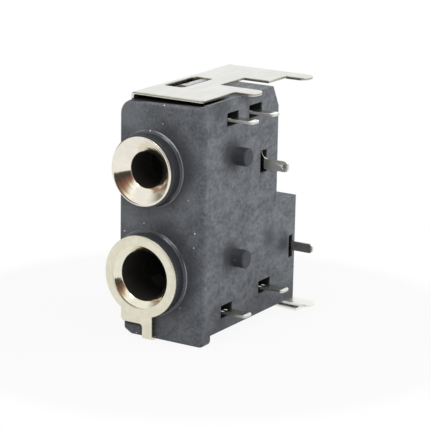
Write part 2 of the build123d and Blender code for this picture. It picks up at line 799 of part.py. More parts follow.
def ground_finger():
    """The springy finger that hangs from the skirt and touches the upper plug."""
    x = PLATE_FAR_X + SHEET_T / 2
    touch = UPPER_AXIS_Z + UPPER_BORE_R - BUMP_REACH + SHEET_T / 2
    edge_view = strip(
        (x, TOP_Z - SKIRT_DROP + SHEET_T),
        (x, touch + ARM_TAIL_LIFT),
        (0, touch),
        (ARM_TAIL_X, touch + ARM_TAIL_LIFT * FINGER_TAIL_SHARE),
    )
    return across_y(edge_view, FINGER_Y, FINGER_Y + FINGER_W)


def ground_plate():
    """The plate over the top, with two legs, a skirt down one side and a finger."""
    fold_x = PLATE_FAR_X + SKIRT_BEND_R + SHEET_T / 2
    plate = across_z(plate_outline(fold_x), TOP_Z, TOP_Z + SHEET_T)
    middle = PLATE_FAR_X + SHEET_T / 2
    skirt = strip(
        (fold_x + SHEET_T, TOP_Z + SHEET_T / 2),
        (middle, TOP_Z + SHEET_T / 2),
        (middle, TOP_Z - SKIRT_DROP),
        radius=SKIRT_BEND_R,
    )
    plate += across_y(skirt, PLATE_FRONT_Y, SKIRT_END_Y)
    return plate - wall_clearance() - plate_hole() + ground_finger()


def wall_clearance():
    """The space that the skirt leaves round the front wall's crown corner."""
    y = (PLATE_FRONT_Y - CUT_PAST, FRONT_WALL + SKIRT_WALL_GAP)
    centre_x = FAR_FACE_X + CROWN_R
    centre_z = CROWN_Z - CROWN_R
    below = block((FAR_FACE_X, centre_x), y, (RECESS_Z - CUT_PAST, centre_z))
    return rod(CROWN_R + SKIRT_WALL_GAP, centre_x, y, centre_z) + below


def plate_hole():
    """The punched hole in the ground plate, with its rounded corners."""
    hole = block(
        (HOLE_FAR_X, HOLE_BOARD_X),
        (HOLE_FRONT_Y, HOLE_END_Y),
        (TOP_Z - SHEET_T, TOP_Z + CUT_PAST),
    )
    return fillet(hole.edges().filter_by(Axis.Z), HOLE_CORNER_R)


def build_all():
    """Every piece, by the name of its file."""
    pieces = {
        "housing": housing(),
        "upper_mouth_ring": upper_mouth(),
        "lower_mouth_ring_and_strap": lower_mouth(),
        "ground_plate": ground_plate(),
    }
    for spec in FLAT_CONTACTS:
        pieces[spec.name] = flat_contact(spec)
    for spec in UPRIGHT_CONTACTS:
        pieces[spec.name] = upright_contact(spec)
    return pieces


os.makedirs("parts", exist_ok=True)
for name, shape in build_all().items():
    export_step(shape, f"parts/{name}.step")
    print(name, len(shape.solids()), round(shape.volume, 3))
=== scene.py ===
"""Finishes, floor, lamps and camera for a dual audio jack socket.

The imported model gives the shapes. Each of its nodes gets softly rounded edges, and its
two round metal mouths are turned anew with finer rounding. Every finish is worked out
from the piece's own coordinates. Lengths are in metres, in the model's frame: X runs
towards the circuit board, Y into the sockets, and Z up.
"""

import json
import logging
import math
from dataclasses import dataclass
from enum import Enum
from itertools import product

import bmesh
import bpy
from mathutils import Matrix, Vector

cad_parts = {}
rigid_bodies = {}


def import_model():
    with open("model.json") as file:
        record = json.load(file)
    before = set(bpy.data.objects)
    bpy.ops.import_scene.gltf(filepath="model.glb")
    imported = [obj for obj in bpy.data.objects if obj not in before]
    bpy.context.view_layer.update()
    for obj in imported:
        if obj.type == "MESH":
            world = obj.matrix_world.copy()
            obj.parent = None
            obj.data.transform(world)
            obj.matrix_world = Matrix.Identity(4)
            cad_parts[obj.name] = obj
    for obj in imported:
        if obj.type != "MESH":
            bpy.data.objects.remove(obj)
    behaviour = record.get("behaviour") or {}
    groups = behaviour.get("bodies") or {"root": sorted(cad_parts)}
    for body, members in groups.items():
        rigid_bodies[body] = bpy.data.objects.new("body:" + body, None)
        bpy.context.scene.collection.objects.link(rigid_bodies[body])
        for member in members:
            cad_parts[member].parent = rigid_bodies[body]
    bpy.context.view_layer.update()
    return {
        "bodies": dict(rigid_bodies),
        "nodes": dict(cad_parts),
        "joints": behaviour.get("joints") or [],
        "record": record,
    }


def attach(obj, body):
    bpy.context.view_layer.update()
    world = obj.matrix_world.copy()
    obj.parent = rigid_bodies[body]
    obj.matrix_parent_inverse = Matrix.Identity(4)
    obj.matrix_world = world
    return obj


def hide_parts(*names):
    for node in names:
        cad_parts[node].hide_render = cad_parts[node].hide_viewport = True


MM = 0.001
MERGE_GAP = 2e-7
MIX_COLOURS = (6, 7)  # a Mix node's two colour inputs, whose names repeat
MIX_RESULT = 2  # its colour output
log = logging.getLogger("audio_jack_socket")

Socket = bpy.types.NodeSocket
Sockets = dict[str, Socket]
Value = float | Socket
Pair = tuple[float, float]
Triple = tuple[float, float, float]
Colour = Triple


class Slot(Enum):
    """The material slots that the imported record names."""

    PLASTIC = "moulded_plastic"
    NICKEL = "nickel_plate"
    TIN = "tin_plate"
    PLATE = "plate_metal"
    CONTACT = "contact_metal"


class Op(Enum):
    """The sums that the finishes use."""

    ADD = "ADD"
    SUBTRACT = "SUBTRACT"
    MULTIPLY = "MULTIPLY"
    DIVIDE = "DIVIDE"
    SQRT = "SQRT"
    ABS = "ABSOLUTE"
    MAX = "MAXIMUM"
    LESS = "LESS_THAN"
    MORE = "GREATER_THAN"


class Graph:
    """A short way to add shader nodes to a tree and to join them."""

    def __init__(self, tree: bpy.types.NodeTree) -> None:
        """Start on a tree that may already hold nodes."""
        self.tree = tree

    def add(self, kind: str, **settings: object) -> bpy.types.Node:
        """Add one node.

        Args:
            kind: The type of the node.
            settings: Properties to set on the node.

        Returns:
            The new node.
        """
        node = self.tree.nodes.new(kind)
        for name, value in settings.items():
            setattr(node, name, value)
        return node

    def feed(self, target: Socket, value: object) -> None:
        """Give an input a plain value, or join it to an output.

        Args:
            target: The input.
            value: A number, a vector, a colour or an output.
        """
        if isinstance(value, Socket):
            self.tree.links.new(value, target)
        else:
            target.default_value = value

    def show(self, shader: bpy.types.Node, output: str = "ShaderNodeOutputMaterial") -> None:
        """Send a shader to a new output of the given type."""
        self.feed(self.add(output).inputs["Surface"], shader.outputs[0])

    def sum(self, op: Op, a: Value, b: Value = 0.0) -> Socket:
        """Work out one sum.

        Args:
            op: Which sum.
            a: The first number or output.
            b: The second number or output.

        Returns:
            The result's output.
        """
        node = self.add("ShaderNodeMath", operation=op.value)
        self.feed(node.inputs[0], a)
        self.feed(node.inputs[1], b)
        return node.outputs[0]

    def fold(self, op: Op, values: tuple[Value, ...]) -> Socket:
        """Take several values together, one after another.

        Args:
            op: The sum that joins two of them.
            values: The numbers or outputs.

        Returns:
            The result's output.
        """
        result = values[0]
        for value in values[1:]:
            result = self.sum(op, result, value)
        return result

    def all_of(self, *masks: Value) -> Socket:
        """Multiply several masks, so that all of them have to hold."""
        return self.fold(Op.MULTIPLY, masks)

    def any_of(self, *masks: Value) -> Socket:
        """Take the highest of several masks, so that any of them will do."""
        return self.fold(Op.MAX, masks)

    def none_of(self, mask: Value) -> Socket:
        """Turn a mask round."""
        return self.sum(Op.SUBTRACT, 1.0, mask)

    def total(self, *terms: tuple[Value, Value]) -> Socket:
        """Add up several values, each times its weight."""
        return self.fold(Op.ADD, tuple(self.sum(Op.MULTIPLY, *term) for term in terms))

    def between(self, mask: Value, low: Value, high: Value) -> Socket:
        """Go from one number to another under a mask."""
        return self.total((low, self.none_of(mask)), (high, mask))

    def span(self, value: Value, ends: Pair, reach: Pair = (0.0, 1.0), kind: str = "LINEAR") -> Socket:
        """Stretch a value over another range.

        Args:
            value: The number to read.
            ends: The results at the start and the end.
            reach: Where the value starts and ends.
            kind: How the result goes from one end to the other.

        Returns:
            The result, which stays within its ends.
        """
        node = self.add("ShaderNodeMapRange", interpolation_type=kind)
        self.feed(node.inputs["Value"], value)
        for name, number in zip(("From Min", "From Max", "To Min", "To Max"), (*reach, *ends)):
            node.inputs[name].default_value = number
        return node.outputs["Result"]

    def step(self, value: Value, start: float, end: float) -> Socket:
        """Turn a value into a smooth mask, 0 at the start and 1 at the end."""
        return self.span(value, (0.0, 1.0), (start, end), "SMOOTHSTEP")

    def within(self, value: Value, start: float, end: float, soft: float) -> Socket:
        """Turn a value into a band, whose soft sides lie inside it."""
        return self.all_of(self.step(value, start, start + soft), self.step(value, end, end - soft))

    def distance(self, a: Value, b: Value, centre: tuple[Value, Value]) -> Socket:
        """Measure how far a point is from an axis.

        Args:
            a: The point's first coordinate across the axis.
            b: The point's second coordinate across the axis.
            centre: The axis's own two coordinates.

        Returns:
            The distance's output.
        """
        a_off = self.sum(Op.SUBTRACT, a, centre[0])
        b_off = self.sum(Op.SUBTRACT, b, centre[1])
        return self.sum(Op.SQRT, self.total((a_off, a_off), (b_off, b_off)))

    def blend(self, share: Value, a: Colour | Socket, b: Colour | Socket) -> Socket:
        """Mix two colours.

        Args:
            share: How much of the second colour shows.
            a: The first colour, three numbers or an output.
            b: The second colour.

        Returns:
            The mixed colour.
        """
        node = self.add("ShaderNodeMix", data_type="RGBA")
        self.feed(node.inputs[0], share)
        for number, colour in zip(MIX_COLOURS, (a, b)):
            self.feed(node.inputs[number], (*colour, 1.0) if isinstance(colour, tuple) else colour)
        return node.outputs[MIX_RESULT]

    def noise(self, place: Socket, scale: Value, detail: float = 2.0, twist: Value = 0.0) -> Socket:
        """Read a noise pattern.

        Args:
            place: Where to read it.
            scale: Waves per metre.
            detail: How many finer layers it has.
            twist: How far it is drawn out into flow marks.

        Returns:
            The pattern, about 0 to 1.
        """
        node = self.add("ShaderNodeTexNoise")
        self.feed(node.inputs["Vector"], place)
        self.feed(node.inputs["Scale"], scale)
        node.inputs["Detail"].default_value = detail
        self.feed(node.inputs["Distortion"], twist)
        return node.outputs["Fac"]

    def patches(self, scale: Value, detail: float, limits: Pair) -> Socket:
        """A noise mask that breaks up a mark, 0 to 1 between its limits."""
        return self.step(self.noise(self.object_place(), scale, detail), *limits)

    def object_place(self) -> Socket:
        """The point on the piece, in metres."""
        return self.add("ShaderNodeTexCoord").outputs["Object"]

    def parts(self, vector: Socket) -> tuple[Socket, Socket, Socket]:
        """Split a vector into its X, Y and Z.

        Args:
            vector: The vector's output.

        Returns:
            The three outputs.
        """
        node = self.add("ShaderNodeSeparateXYZ")
        self.feed(node.inputs[0], vector)
        return node.outputs[0], node.outputs[1], node.outputs[2]

    def xyz(self) -> tuple[Socket, Socket, Socket]:
        """The X, Y and Z of the point on the piece."""
        return self.parts(self.object_place())

    def facing_up(self) -> Socket:
        """How far the surface faces up: 1 on top, 0 on a wall and -1 below."""
        return self.parts(self.add("ShaderNodeTexCoord").outputs["Normal"])[2]

    def stretched(self, scale: Triple) -> Socket:
        """The point on the piece, with its axes squeezed or drawn out.

        Args:
            scale: The factor for each axis.

        Returns:
            The changed point.
        """
        node = self.add("ShaderNodeMapping")
        self.feed(node.inputs["Vector"], self.object_place())
        node.inputs["Scale"].default_value = scale
        return node.outputs["Vector"]

    def bump(self, height: Value, depth: float, strength: float = 1.0) -> Socket:
        """Turn a height into a bumpy normal.

        Args:
            height: The height, from 0 to 1.
            depth: How deep the height is, in metres.
            strength: How much of it shows.

        Returns:
            The bumpy normal.
        """
        node = self.add("ShaderNodeBump")
        self.feed(node.inputs["Height"], height)
        node.inputs["Distance"].default_value = depth
        node.inputs["Strength"].default_value = strength
        return node.outputs["Normal"]


class Effects:
    """The node groups that more than one finish shares, each built once."""

    drawn_out: Triple = (1.0, 0.72, 1.0)
    noise_middle: float = 0.5
    line_width: float = 0.03
    line_patch_scale: float = 1100.0
    line_patches: Pair = (0.46, 0.66)
    rub_turn: Pair = (0.995, 0.86)
    rub_patches: Pair = (0.35, 0.65)

    def __init__(self) -> None:
        """Build every group."""
        self.mottle = self._mottle()
        self.flow = self._flow()
        self.specks = self._specks()
        self.turning = self._turning()
        self.rub = self._rub()

    def _start(self, name: str, inputs: list[str], outputs: list[str]) -> tuple[Graph, Sockets, Sockets]:
        """Start a group with named number inputs and outputs.

        Args:
            name: The group's name.
            inputs: The inputs' names.
            outputs: The outputs' names.

        Returns:
            The group's graph, the values given to it, and the places for its results.
        """
        tree = bpy.data.node_groups.new(name, "ShaderNodeTree")
        for side, labels in (("INPUT", inputs), ("OUTPUT", outputs)):
            for label in labels:
                tree.interface.new_socket(label, in_out=side, socket_type="NodeSocketFloat")
        graph = Graph(tree)
        source = graph.add("NodeGroupInput")
        sink = graph.add("NodeGroupOutput")
        return graph, dict(source.outputs.items()), dict(sink.inputs.items())

    def _mottle(self) -> bpy.types.NodeTree:
        """Cloudy flow marks and a fine grain, as filled plastic shows.

        Returns:
            The group.
        """
        g, given, out = self._start("mottle", ["Cloud Scale", "Grain Scale"], ["Cloud", "Grain"])
        place = g.stretched(self.drawn_out)
        g.feed(out["Cloud"], g.noise(place, given["Cloud Scale"], detail=4.0, twist=1.6))
        g.feed(out["Grain"], g.noise(place, given["Grain Scale"], detail=3.0))
        return g.tree

    def _flow(self) -> bpy.types.NodeTree:
        """Thin curly lines, as glass fibre leaves on the skin of a moulding.

        Returns:
            The group.
        """
        g, given, out = self._start("flow_lines", ["Scale", "Curl"], ["Lines"])
        field = g.noise(g.stretched(self.drawn_out), given["Scale"], 3.0, given["Curl"])
        ridge = g.sum(Op.ABS, g.sum(Op.SUBTRACT, field, self.noise_middle))
        patchy = g.patches(self.line_patch_scale, 1.0, self.line_patches)
        g.feed(out["Lines"], g.all_of(g.step(ridge, self.line_width, 0.0), patchy))
        return g.tree

    def _specks(self) -> bpy.types.NodeTree:
        """Small round specks, scattered thinly.

        Returns:
            The group.
        """
        g, given, out = self._start("specks", ["Scale", "Share", "Radius"], ["Mask"])
        cells = g.add("ShaderNodeTexVoronoi")
        g.feed(cells.inputs["Vector"], g.object_place())
        g.feed(cells.inputs["Scale"], given["Scale"])
        lottery = g.add("ShaderNodeSeparateColor")
        g.feed(lottery.inputs[0], cells.outputs["Color"])
        chosen = g.sum(Op.MORE, lottery.outputs[0], given["Share"])
        near = g.sum(Op.LESS, cells.outputs["Distance"], given["Radius"])
        g.feed(out["Mask"], g.all_of(chosen, near))
        return g.tree

    def _turning(self) -> bpy.types.NodeTree:
        """Fine rings left by turning, and the distance from the socket's axis.

        Returns:
            The group.
        """
        g, given, out = self._start("turning_marks", ["Axis Height", "Pitch"], ["Radius", "Rings"])
        x, _, z = g.xyz()
        radius = g.distance(x, z, (0.0, given["Axis Height"]))
        g.feed(out["Radius"], radius)
        beside = g.add("ShaderNodeCombineXYZ")
        g.feed(beside.inputs[0], g.sum(Op.DIVIDE, radius, given["Pitch"]))
        g.feed(out["Rings"], g.noise(beside.outputs[0], 1.0))
        return g.tree

    def _rub(self) -> bpy.types.NodeTree:
        """Worn edges: 1 where the surface turns sharply, broken up by noise.

        Returns:
            The group.
        """
        g, given, out = self._start("edge_rub", ["Width", "Break Up"], ["Mask"])
        rounded = g.add("ShaderNodeBevel", samples=4)
        g.feed(rounded.inputs["Radius"], given["Width"])
        match = g.add("ShaderNodeVectorMath", operation="DOT_PRODUCT")
        g.feed(match.inputs[0], rounded.outputs["Normal"])
        g.feed(match.inputs[1], g.add("ShaderNodeNewGeometry").outputs["Normal"])
        turned = g.step(match.outputs["Value"], *self.rub_turn)
        g.feed(out["Mask"], g.all_of(turned, g.patches(given["Break Up"], 3.0, self.rub_patches)))
        return g.tree


def use_group(graph: Graph, tree: bpy.types.NodeTree, **values: float) -> Sockets:
    """Place an effect in a finish.

    Args:
        graph: The finish's graph.
        tree: The effect.
        values: The effect's inputs, with underscores for spaces.

    Returns:
        The effect's outputs by name.
    """
    node = graph.add("ShaderNodeGroup", node_tree=tree)
    for name, value in values.items():
        graph.feed(node.inputs[name.replace("_", " ")], value)
    return dict(node.outputs.items())


def new_material(name: str) -> tuple[bpy.types.Material, Graph]:
    """Make an empty material.

    Args:
        name: The material's name.

    Returns:
        The material and its graph.
    """
    material = bpy.data.materials.new(name)
    material.use_nodes = True
    material.node_tree.nodes.clear()
    return material, Graph(material.node_tree)


def to_mesh(shape: bmesh.types.BMesh, name: str) -> bpy.types.Mesh:
    """Turn a shape into a mesh.

    Args:
        shape: The shape, which is freed.
        name: The mesh's name.

    Returns:
        The mesh.
    """
    mesh = bpy.data.meshes.new(name)
    shape.to_mesh(mesh)
    shape.free()
    return mesh


def place_in_scene(name: str, data: bpy.types.ID) -> bpy.types.Object:
    """Add an object to the scene.

    Args:
        name: The object's name.
        data: Its mesh, lamp or camera.

    Returns:
        The object.
    """
    thing = bpy.data.objects.new(name, data)
    bpy.context.scene.collection.objects.link(thing)
    return thing


def round_edges(
    shape: bmesh.types.BMesh, edges: list[bmesh.types.BMEdge], width: float, segments: int
) -> None:
    """Round some edges of a shape.

    Args:
        shape: The shape.
        edges: The edges to round.
        width: How far the rounding reaches from the edge.
        segments: How many flat strips it has.
    """
    bmesh.ops.bevel(
        shape,
        geom=edges,
        offset=width,
        offset_type="OFFSET",
        segments=segments,
        profile=0.5,
        affect="EDGES",
        clamp_overlap=True,
        material=-1,
    )


@dataclass(frozen=True)
class Moulding:
    """Where the moulding's faces lie, where its finish has marks, and where light and shade are painted
    on it.

    Heights run along Z, and what is called along runs with Y. A spot is its two
    coordinates on its face and its reach.
    """

    skin: float = 0.05 * MM
    fade: float = 0.14 * MM
    far: float = -2.6 * MM
    crown_far: float = -1.93 * MM
    crown_floor: float = 9.4 * MM
    board: float = 4.45 * MM
    behind_wall: float = 0.96 * MM
    upper_depth: float = 9.66 * MM
    lower_depth: float = 12.41 * MM
    bottom: float = -4.04 * MM
    step: float = 3.75 * MM
    top: float = 12.4 * MM
    chamfer_along: float = 0.79 * MM
    chamfer_down: float = 1.5 * MM
    chamfer_fade: Pair = (0.94, 0.84)
    crown: float = 12.12 * MM
    under_plate: float = 11.98 * MM
    front_face: Pair = (-0.025 * MM, 0.075 * MM)
    front_soft: float = 0.015 * MM
    collar_heights: Pair = (0.0, 7.5 * MM)
    collar_radii: Pair = (2.95 * MM, 2.55 * MM)
    collar_front: Pair = (-0.01 * MM, -0.04 * MM)
    collar_foot: Pair = (-0.1 * MM, 0.0)
    collar_pad: float = 0.18 * MM
    # The painted highlight line at each collar's foot, and its brightest arc.
    foot_highlight: Pair = (-0.07 * MM, 0.01 * MM)
    foot_line_soft: float = 0.025 * MM
    foot_line_scale: float = 500.0
    foot_line_patches: Pair = (0.38, 0.62)
    foot_line_depth: float = 0.55
    arc_across: Pair = (0.0, 1.0 * MM)
    arc_up: Pair = (8.5 * MM, 9.3 * MM)
    # Painted shadows round the collars and the pegs.
    collar_halo_shift: Pair = (0.45 * MM, 0.5 * MM)
    collar_halo_width: float = 1.3 * MM
    collar_halo_side: Pair = (-0.6 * MM, 1.6 * MM)
    collar_halo_depth: float = 0.72
    peg_along: float = 4.28 * MM
    peg_heights: Pair = (0.87 * MM, 8.2 * MM)
    peg_radius: float = 0.65 * MM
    # Painted shadow round each peg.
    peg_halo_shift: Pair = (-0.8 * MM, 0.3 * MM)
    peg_halo_width: float = 0.9 * MM
    peg_halo_depth: float = 0.9
    # Painted shade under the plate, in its hole, and by the strap and the tab.
    gap_slant: float = 0.17
    gap_start: float = 0.25 * MM
    gap_end: float = 4.05 * MM
    gap_rear: Pair = (3.4 * MM, 2.04 * MM)
    hole_along: Pair = (3.4 * MM, 9.2 * MM)
    hole_edge: float = 0.2 * MM
    # Painted light on the ledge seen through the plate's hole.
    ledge_across: Pair = (-1.15 * MM, -0.45 * MM)
    ledge_along: Pair = (5.2 * MM, 9.0 * MM)
    ledge_scale: float = 1500.0
    ledge_patches: Pair = (0.25, 0.50)
    strap_far: float = -0.485 * MM
    strap_board: float = 0.33 * MM
    strap_from: float = -2.9 * MM
    strap_shade: float = 0.55 * MM
    strap_shade_depth: float = 0.8
    tab_bottom: float = -3.78 * MM
    tab_shade: float = 0.364 * MM
    tab_shade_depth: float = 0.85
    # Painted shade spots on the board side, mostly towards its bottom.
    shade_spot_depth: float = 0.8
    shade_spots: tuple[Triple, ...] = (
        (10.7 * MM, 0.5 * MM, 1.4 * MM),
        (8.7 * MM, 1.4 * MM, 1.5 * MM),
        (12.4 * MM, -4.6 * MM, 3.4 * MM),
        (7.5 * MM, -5.2 * MM, 6.2 * MM),
        (2.5 * MM, -5.0 * MM, 5.0 * MM),
        (1.8 * MM, 12.4 * MM, 2.2 * MM),
    )
    # Painted light: paler patches on the front wall.
    light_patch_depth: float = 0.55
    light_patches: tuple[Triple, ...] = (
        (-1.6 * MM, 4.1 * MM, 2.4 * MM),
        (2.9 * MM, 6.0 * MM, 1.4 * MM),
        (-1.6 * MM, 11.2 * MM, 1.9 * MM),
        (1.3 * MM, -2.9 * MM, 1.3 * MM),
        (0.6 * MM, 4.8 * MM, 1.6 * MM),
    )


class MouldingMasks:
    """Masks from 0 to 1 of the moulding's faces and marks."""

    def __init__(self, g: Graph, shape: Moulding) -> None:
        """Read the point on the moulding once, and find its outer faces.

        Args:
            g: The finish's graph.
            shape: Where the faces and marks lie.
        """
        self.g = g
        self.shape = shape
        self.x, self.y, self.z = g.xyz()
        self.on_front = g.within(self.y, *shape.front_face, shape.front_soft)
        self.on_side = g.step(self.x, shape.board - shape.skin, shape.board)
        self.on_crown = g.step(self.z, shape.under_plate, shape.crown)

    def collars(self) -> Socket:
        """The two collars, in front of the wall."""
        return self.g.step(self.y, *self.shape.collar_front)

    def pegs(self) -> Socket:
        """The two pegs, past the board side, which are painted dark as shade."""
        shape = self.shape
        return self.g.step(self.x, shape.board + shape.skin, shape.board + 2.0 * shape.skin)

    def painted_shadows(self) -> Socket:
        """Painted shade on the skin: painted shadows round the pegs and collars, and painted shade spots
        on the board side, mostly towards its bottom.

        Returns:
            The mask.
        """
        g, shape = self.g, self.shape
        shade_spots = self._spots(self.y, self.z, shape.shade_spots)
        marks = [g.all_of(shade_spots, self.on_side, shape.shade_spot_depth)]
        for height in shape.peg_heights:
            centre = (shape.peg_along + shape.peg_halo_shift[0], height + shape.peg_halo_shift[1])
            outer = shape.peg_radius + shape.peg_halo_width
            near = g.step(g.distance(self.y, self.z, centre), outer, shape.peg_radius)
            marks.append(g.all_of(near, self.on_side, shape.peg_halo_depth))
        board_side = g.step(self.x, *shape.collar_halo_side)
        for height, radius in zip(shape.collar_heights, shape.collar_radii):
            centre = (shape.collar_halo_shift[0], height + shape.collar_halo_shift[1])
            outer = radius + shape.collar_halo_width
            near = g.step(g.distance(self.x, self.z, centre), outer, radius)
            marks.append(g.all_of(near, self.on_front, board_side, shape.collar_halo_depth))
        return g.any_of(*marks)

    def light_patches(self) -> Socket:
        """Soft painted light: paler patches on the front wall."""
        patches = self._spots(self.x, self.z, self.shape.light_patches)
        return self.g.all_of(patches, self.on_front, self.shape.light_patch_depth)

    def _spots(self, a: Socket, b: Socket, spots: tuple[Triple, ...]) -> Socket:
        """Soft round patches.

        Args:
            a: The first coordinate along the face.
            b: The second coordinate along the face.
            spots: The patches.

        Returns:
            The mask.
        """
        g = self.g
        masks = [g.step(g.distance(a, b, (a_at, b_at)), reach, 0.0) for a_at, b_at, reach in spots]
        return g.any_of(*masks)

    def foot_highlights(self) -> Socket:
        """The painted highlight along the foot of each collar: a thin pale line, whole only where it is
        brightest.

        Returns:
            The mask.
        """
        g, shape = self.g, self.shape
        rings = []
        for height, radius in zip(shape.collar_heights, shape.collar_radii):
            away = g.distance(self.x, self.z, (0.0, height))
            past_pad = g.sum(Op.SUBTRACT, away, radius + shape.collar_pad)
            rings.append(g.within(past_pad, *shape.foot_highlight, shape.foot_line_soft))
        broken = g.patches(shape.foot_line_scale, 1.0, shape.foot_line_patches)
        # The painted highlight arc at the top of the upper collar.
        arc = g.all_of(g.step(self.x, *shape.arc_across), g.step(self.z, *shape.arc_up))
        shown = g.any_of(g.all_of(broken, shape.foot_line_depth), arc)
        at_foot = g.within(self.y, *shape.collar_foot, shape.front_soft)
        return g.all_of(g.any_of(*rings), at_foot, shown)

    def lit_ledge(self) -> Socket:
        """Painted light: a paler patch on the ledge that is seen through the hole of the plate, in the
        plate's shade.

        Returns:
            The mask.
        """
        g, shape = self.g, self.shape
        across = g.within(self.x, *shape.ledge_across, 2.0 * shape.skin)
        along = g.within(self.y, *shape.ledge_along, 2.0 * shape.fade)
        patchy = g.patches(shape.ledge_scale, 2.0, shape.ledge_patches)
        return g.all_of(across, along, self.on_crown, patchy)

    def painted_gap_shade(self) -> Socket:
        """Painted shade in the gaps by the plate, the strap and the tab, and in the plate's hole.

        Returns:
            The mask.
        """
        g, shape, skin = self.g, self.shape, self.shape.skin
        slant = g.total((self.y, 1.0), (self.x, -shape.gap_slant))
        below_plate = g.all_of(
            self.on_crown,
            g.step(slant, shape.gap_start - skin, shape.gap_start + skin),
            g.step(self.y, *shape.gap_rear),
            g.step(self.x, shape.gap_end, shape.gap_end - skin),
        )
        in_hole = g.all_of(
            self.on_crown,
            g.step(self.x, shape.hole_edge + skin, shape.hole_edge),
            g.within(self.y, *shape.hole_along, shape.fade),
        )
        by_strap = g.all_of(
            g.step(self.x, shape.strap_board + shape.strap_shade, shape.strap_board),
            g.step(self.x, shape.strap_far, shape.strap_far + skin),
            g.step(self.z, shape.strap_from, shape.strap_from - shape.fade),
            shape.strap_shade_depth,
        )
        under_tab = self._edge_shade(self.z, shape.tab_bottom)
        beside_strap = self._edge_shade(self.x, shape.strap_far)
        in_tab = g.all_of(
            g.any_of(under_tab, beside_strap),
            g.step(self.x, shape.strap_far + skin, shape.strap_far),
            g.step(self.z, shape.tab_bottom + skin, shape.tab_bottom),
            shape.tab_shade_depth,
        )
        front = g.all_of(g.any_of(by_strap, in_tab), g.step(self.y, 2.0 * skin, skin))
        return g.any_of(below_plate, in_hole, front)

    def _edge_shade(self, value: Socket, edge: float) -> Socket:
        """The shade that a sheet's edge throws on the skin just past it."""
        return self.g.step(value, edge - self.shape.tab_shade, edge - self.shape.fade)

    def inside(self) -> Socket:
        """The windows, slots, pockets and bores, painted to fade to black with depth as shade.

        Returns:
            The mask.
        """
        g, shape, skin, fade = self.g, self.shape, self.shape.skin, self.shape.fade
        in_crown = g.step(self.z, shape.crown_floor - 2.0 * skin, shape.crown_floor - skin)
        past_far = g.total((self.x, 1.0), (in_crown, shape.far - shape.crown_far))
        in_notch = g.all_of(
            g.step(self.y, shape.upper_depth - fade, shape.upper_depth - skin),
            g.step(self.z, shape.step - fade, shape.step - skin),
        )
        past_y = g.sum(Op.SUBTRACT, self.y, shape.upper_depth - shape.chamfer_along)
        past_z = g.sum(Op.SUBTRACT, self.z, shape.top - shape.chamfer_down)
        over_chamfer = g.total((past_y, 1.0 / shape.chamfer_along), (past_z, 1.0 / shape.chamfer_down))
        return g.all_of(
            g.step(past_far, shape.far + skin, shape.far + fade),
            g.step(self.x, shape.board - skin, shape.board - fade),
            g.within(self.y, shape.behind_wall, shape.lower_depth - skin, fade),
            g.within(self.z, shape.bottom + skin, shape.top - skin, fade),
            g.none_of(in_notch),
            g.step(over_chamfer, *shape.chamfer_fade),
        )


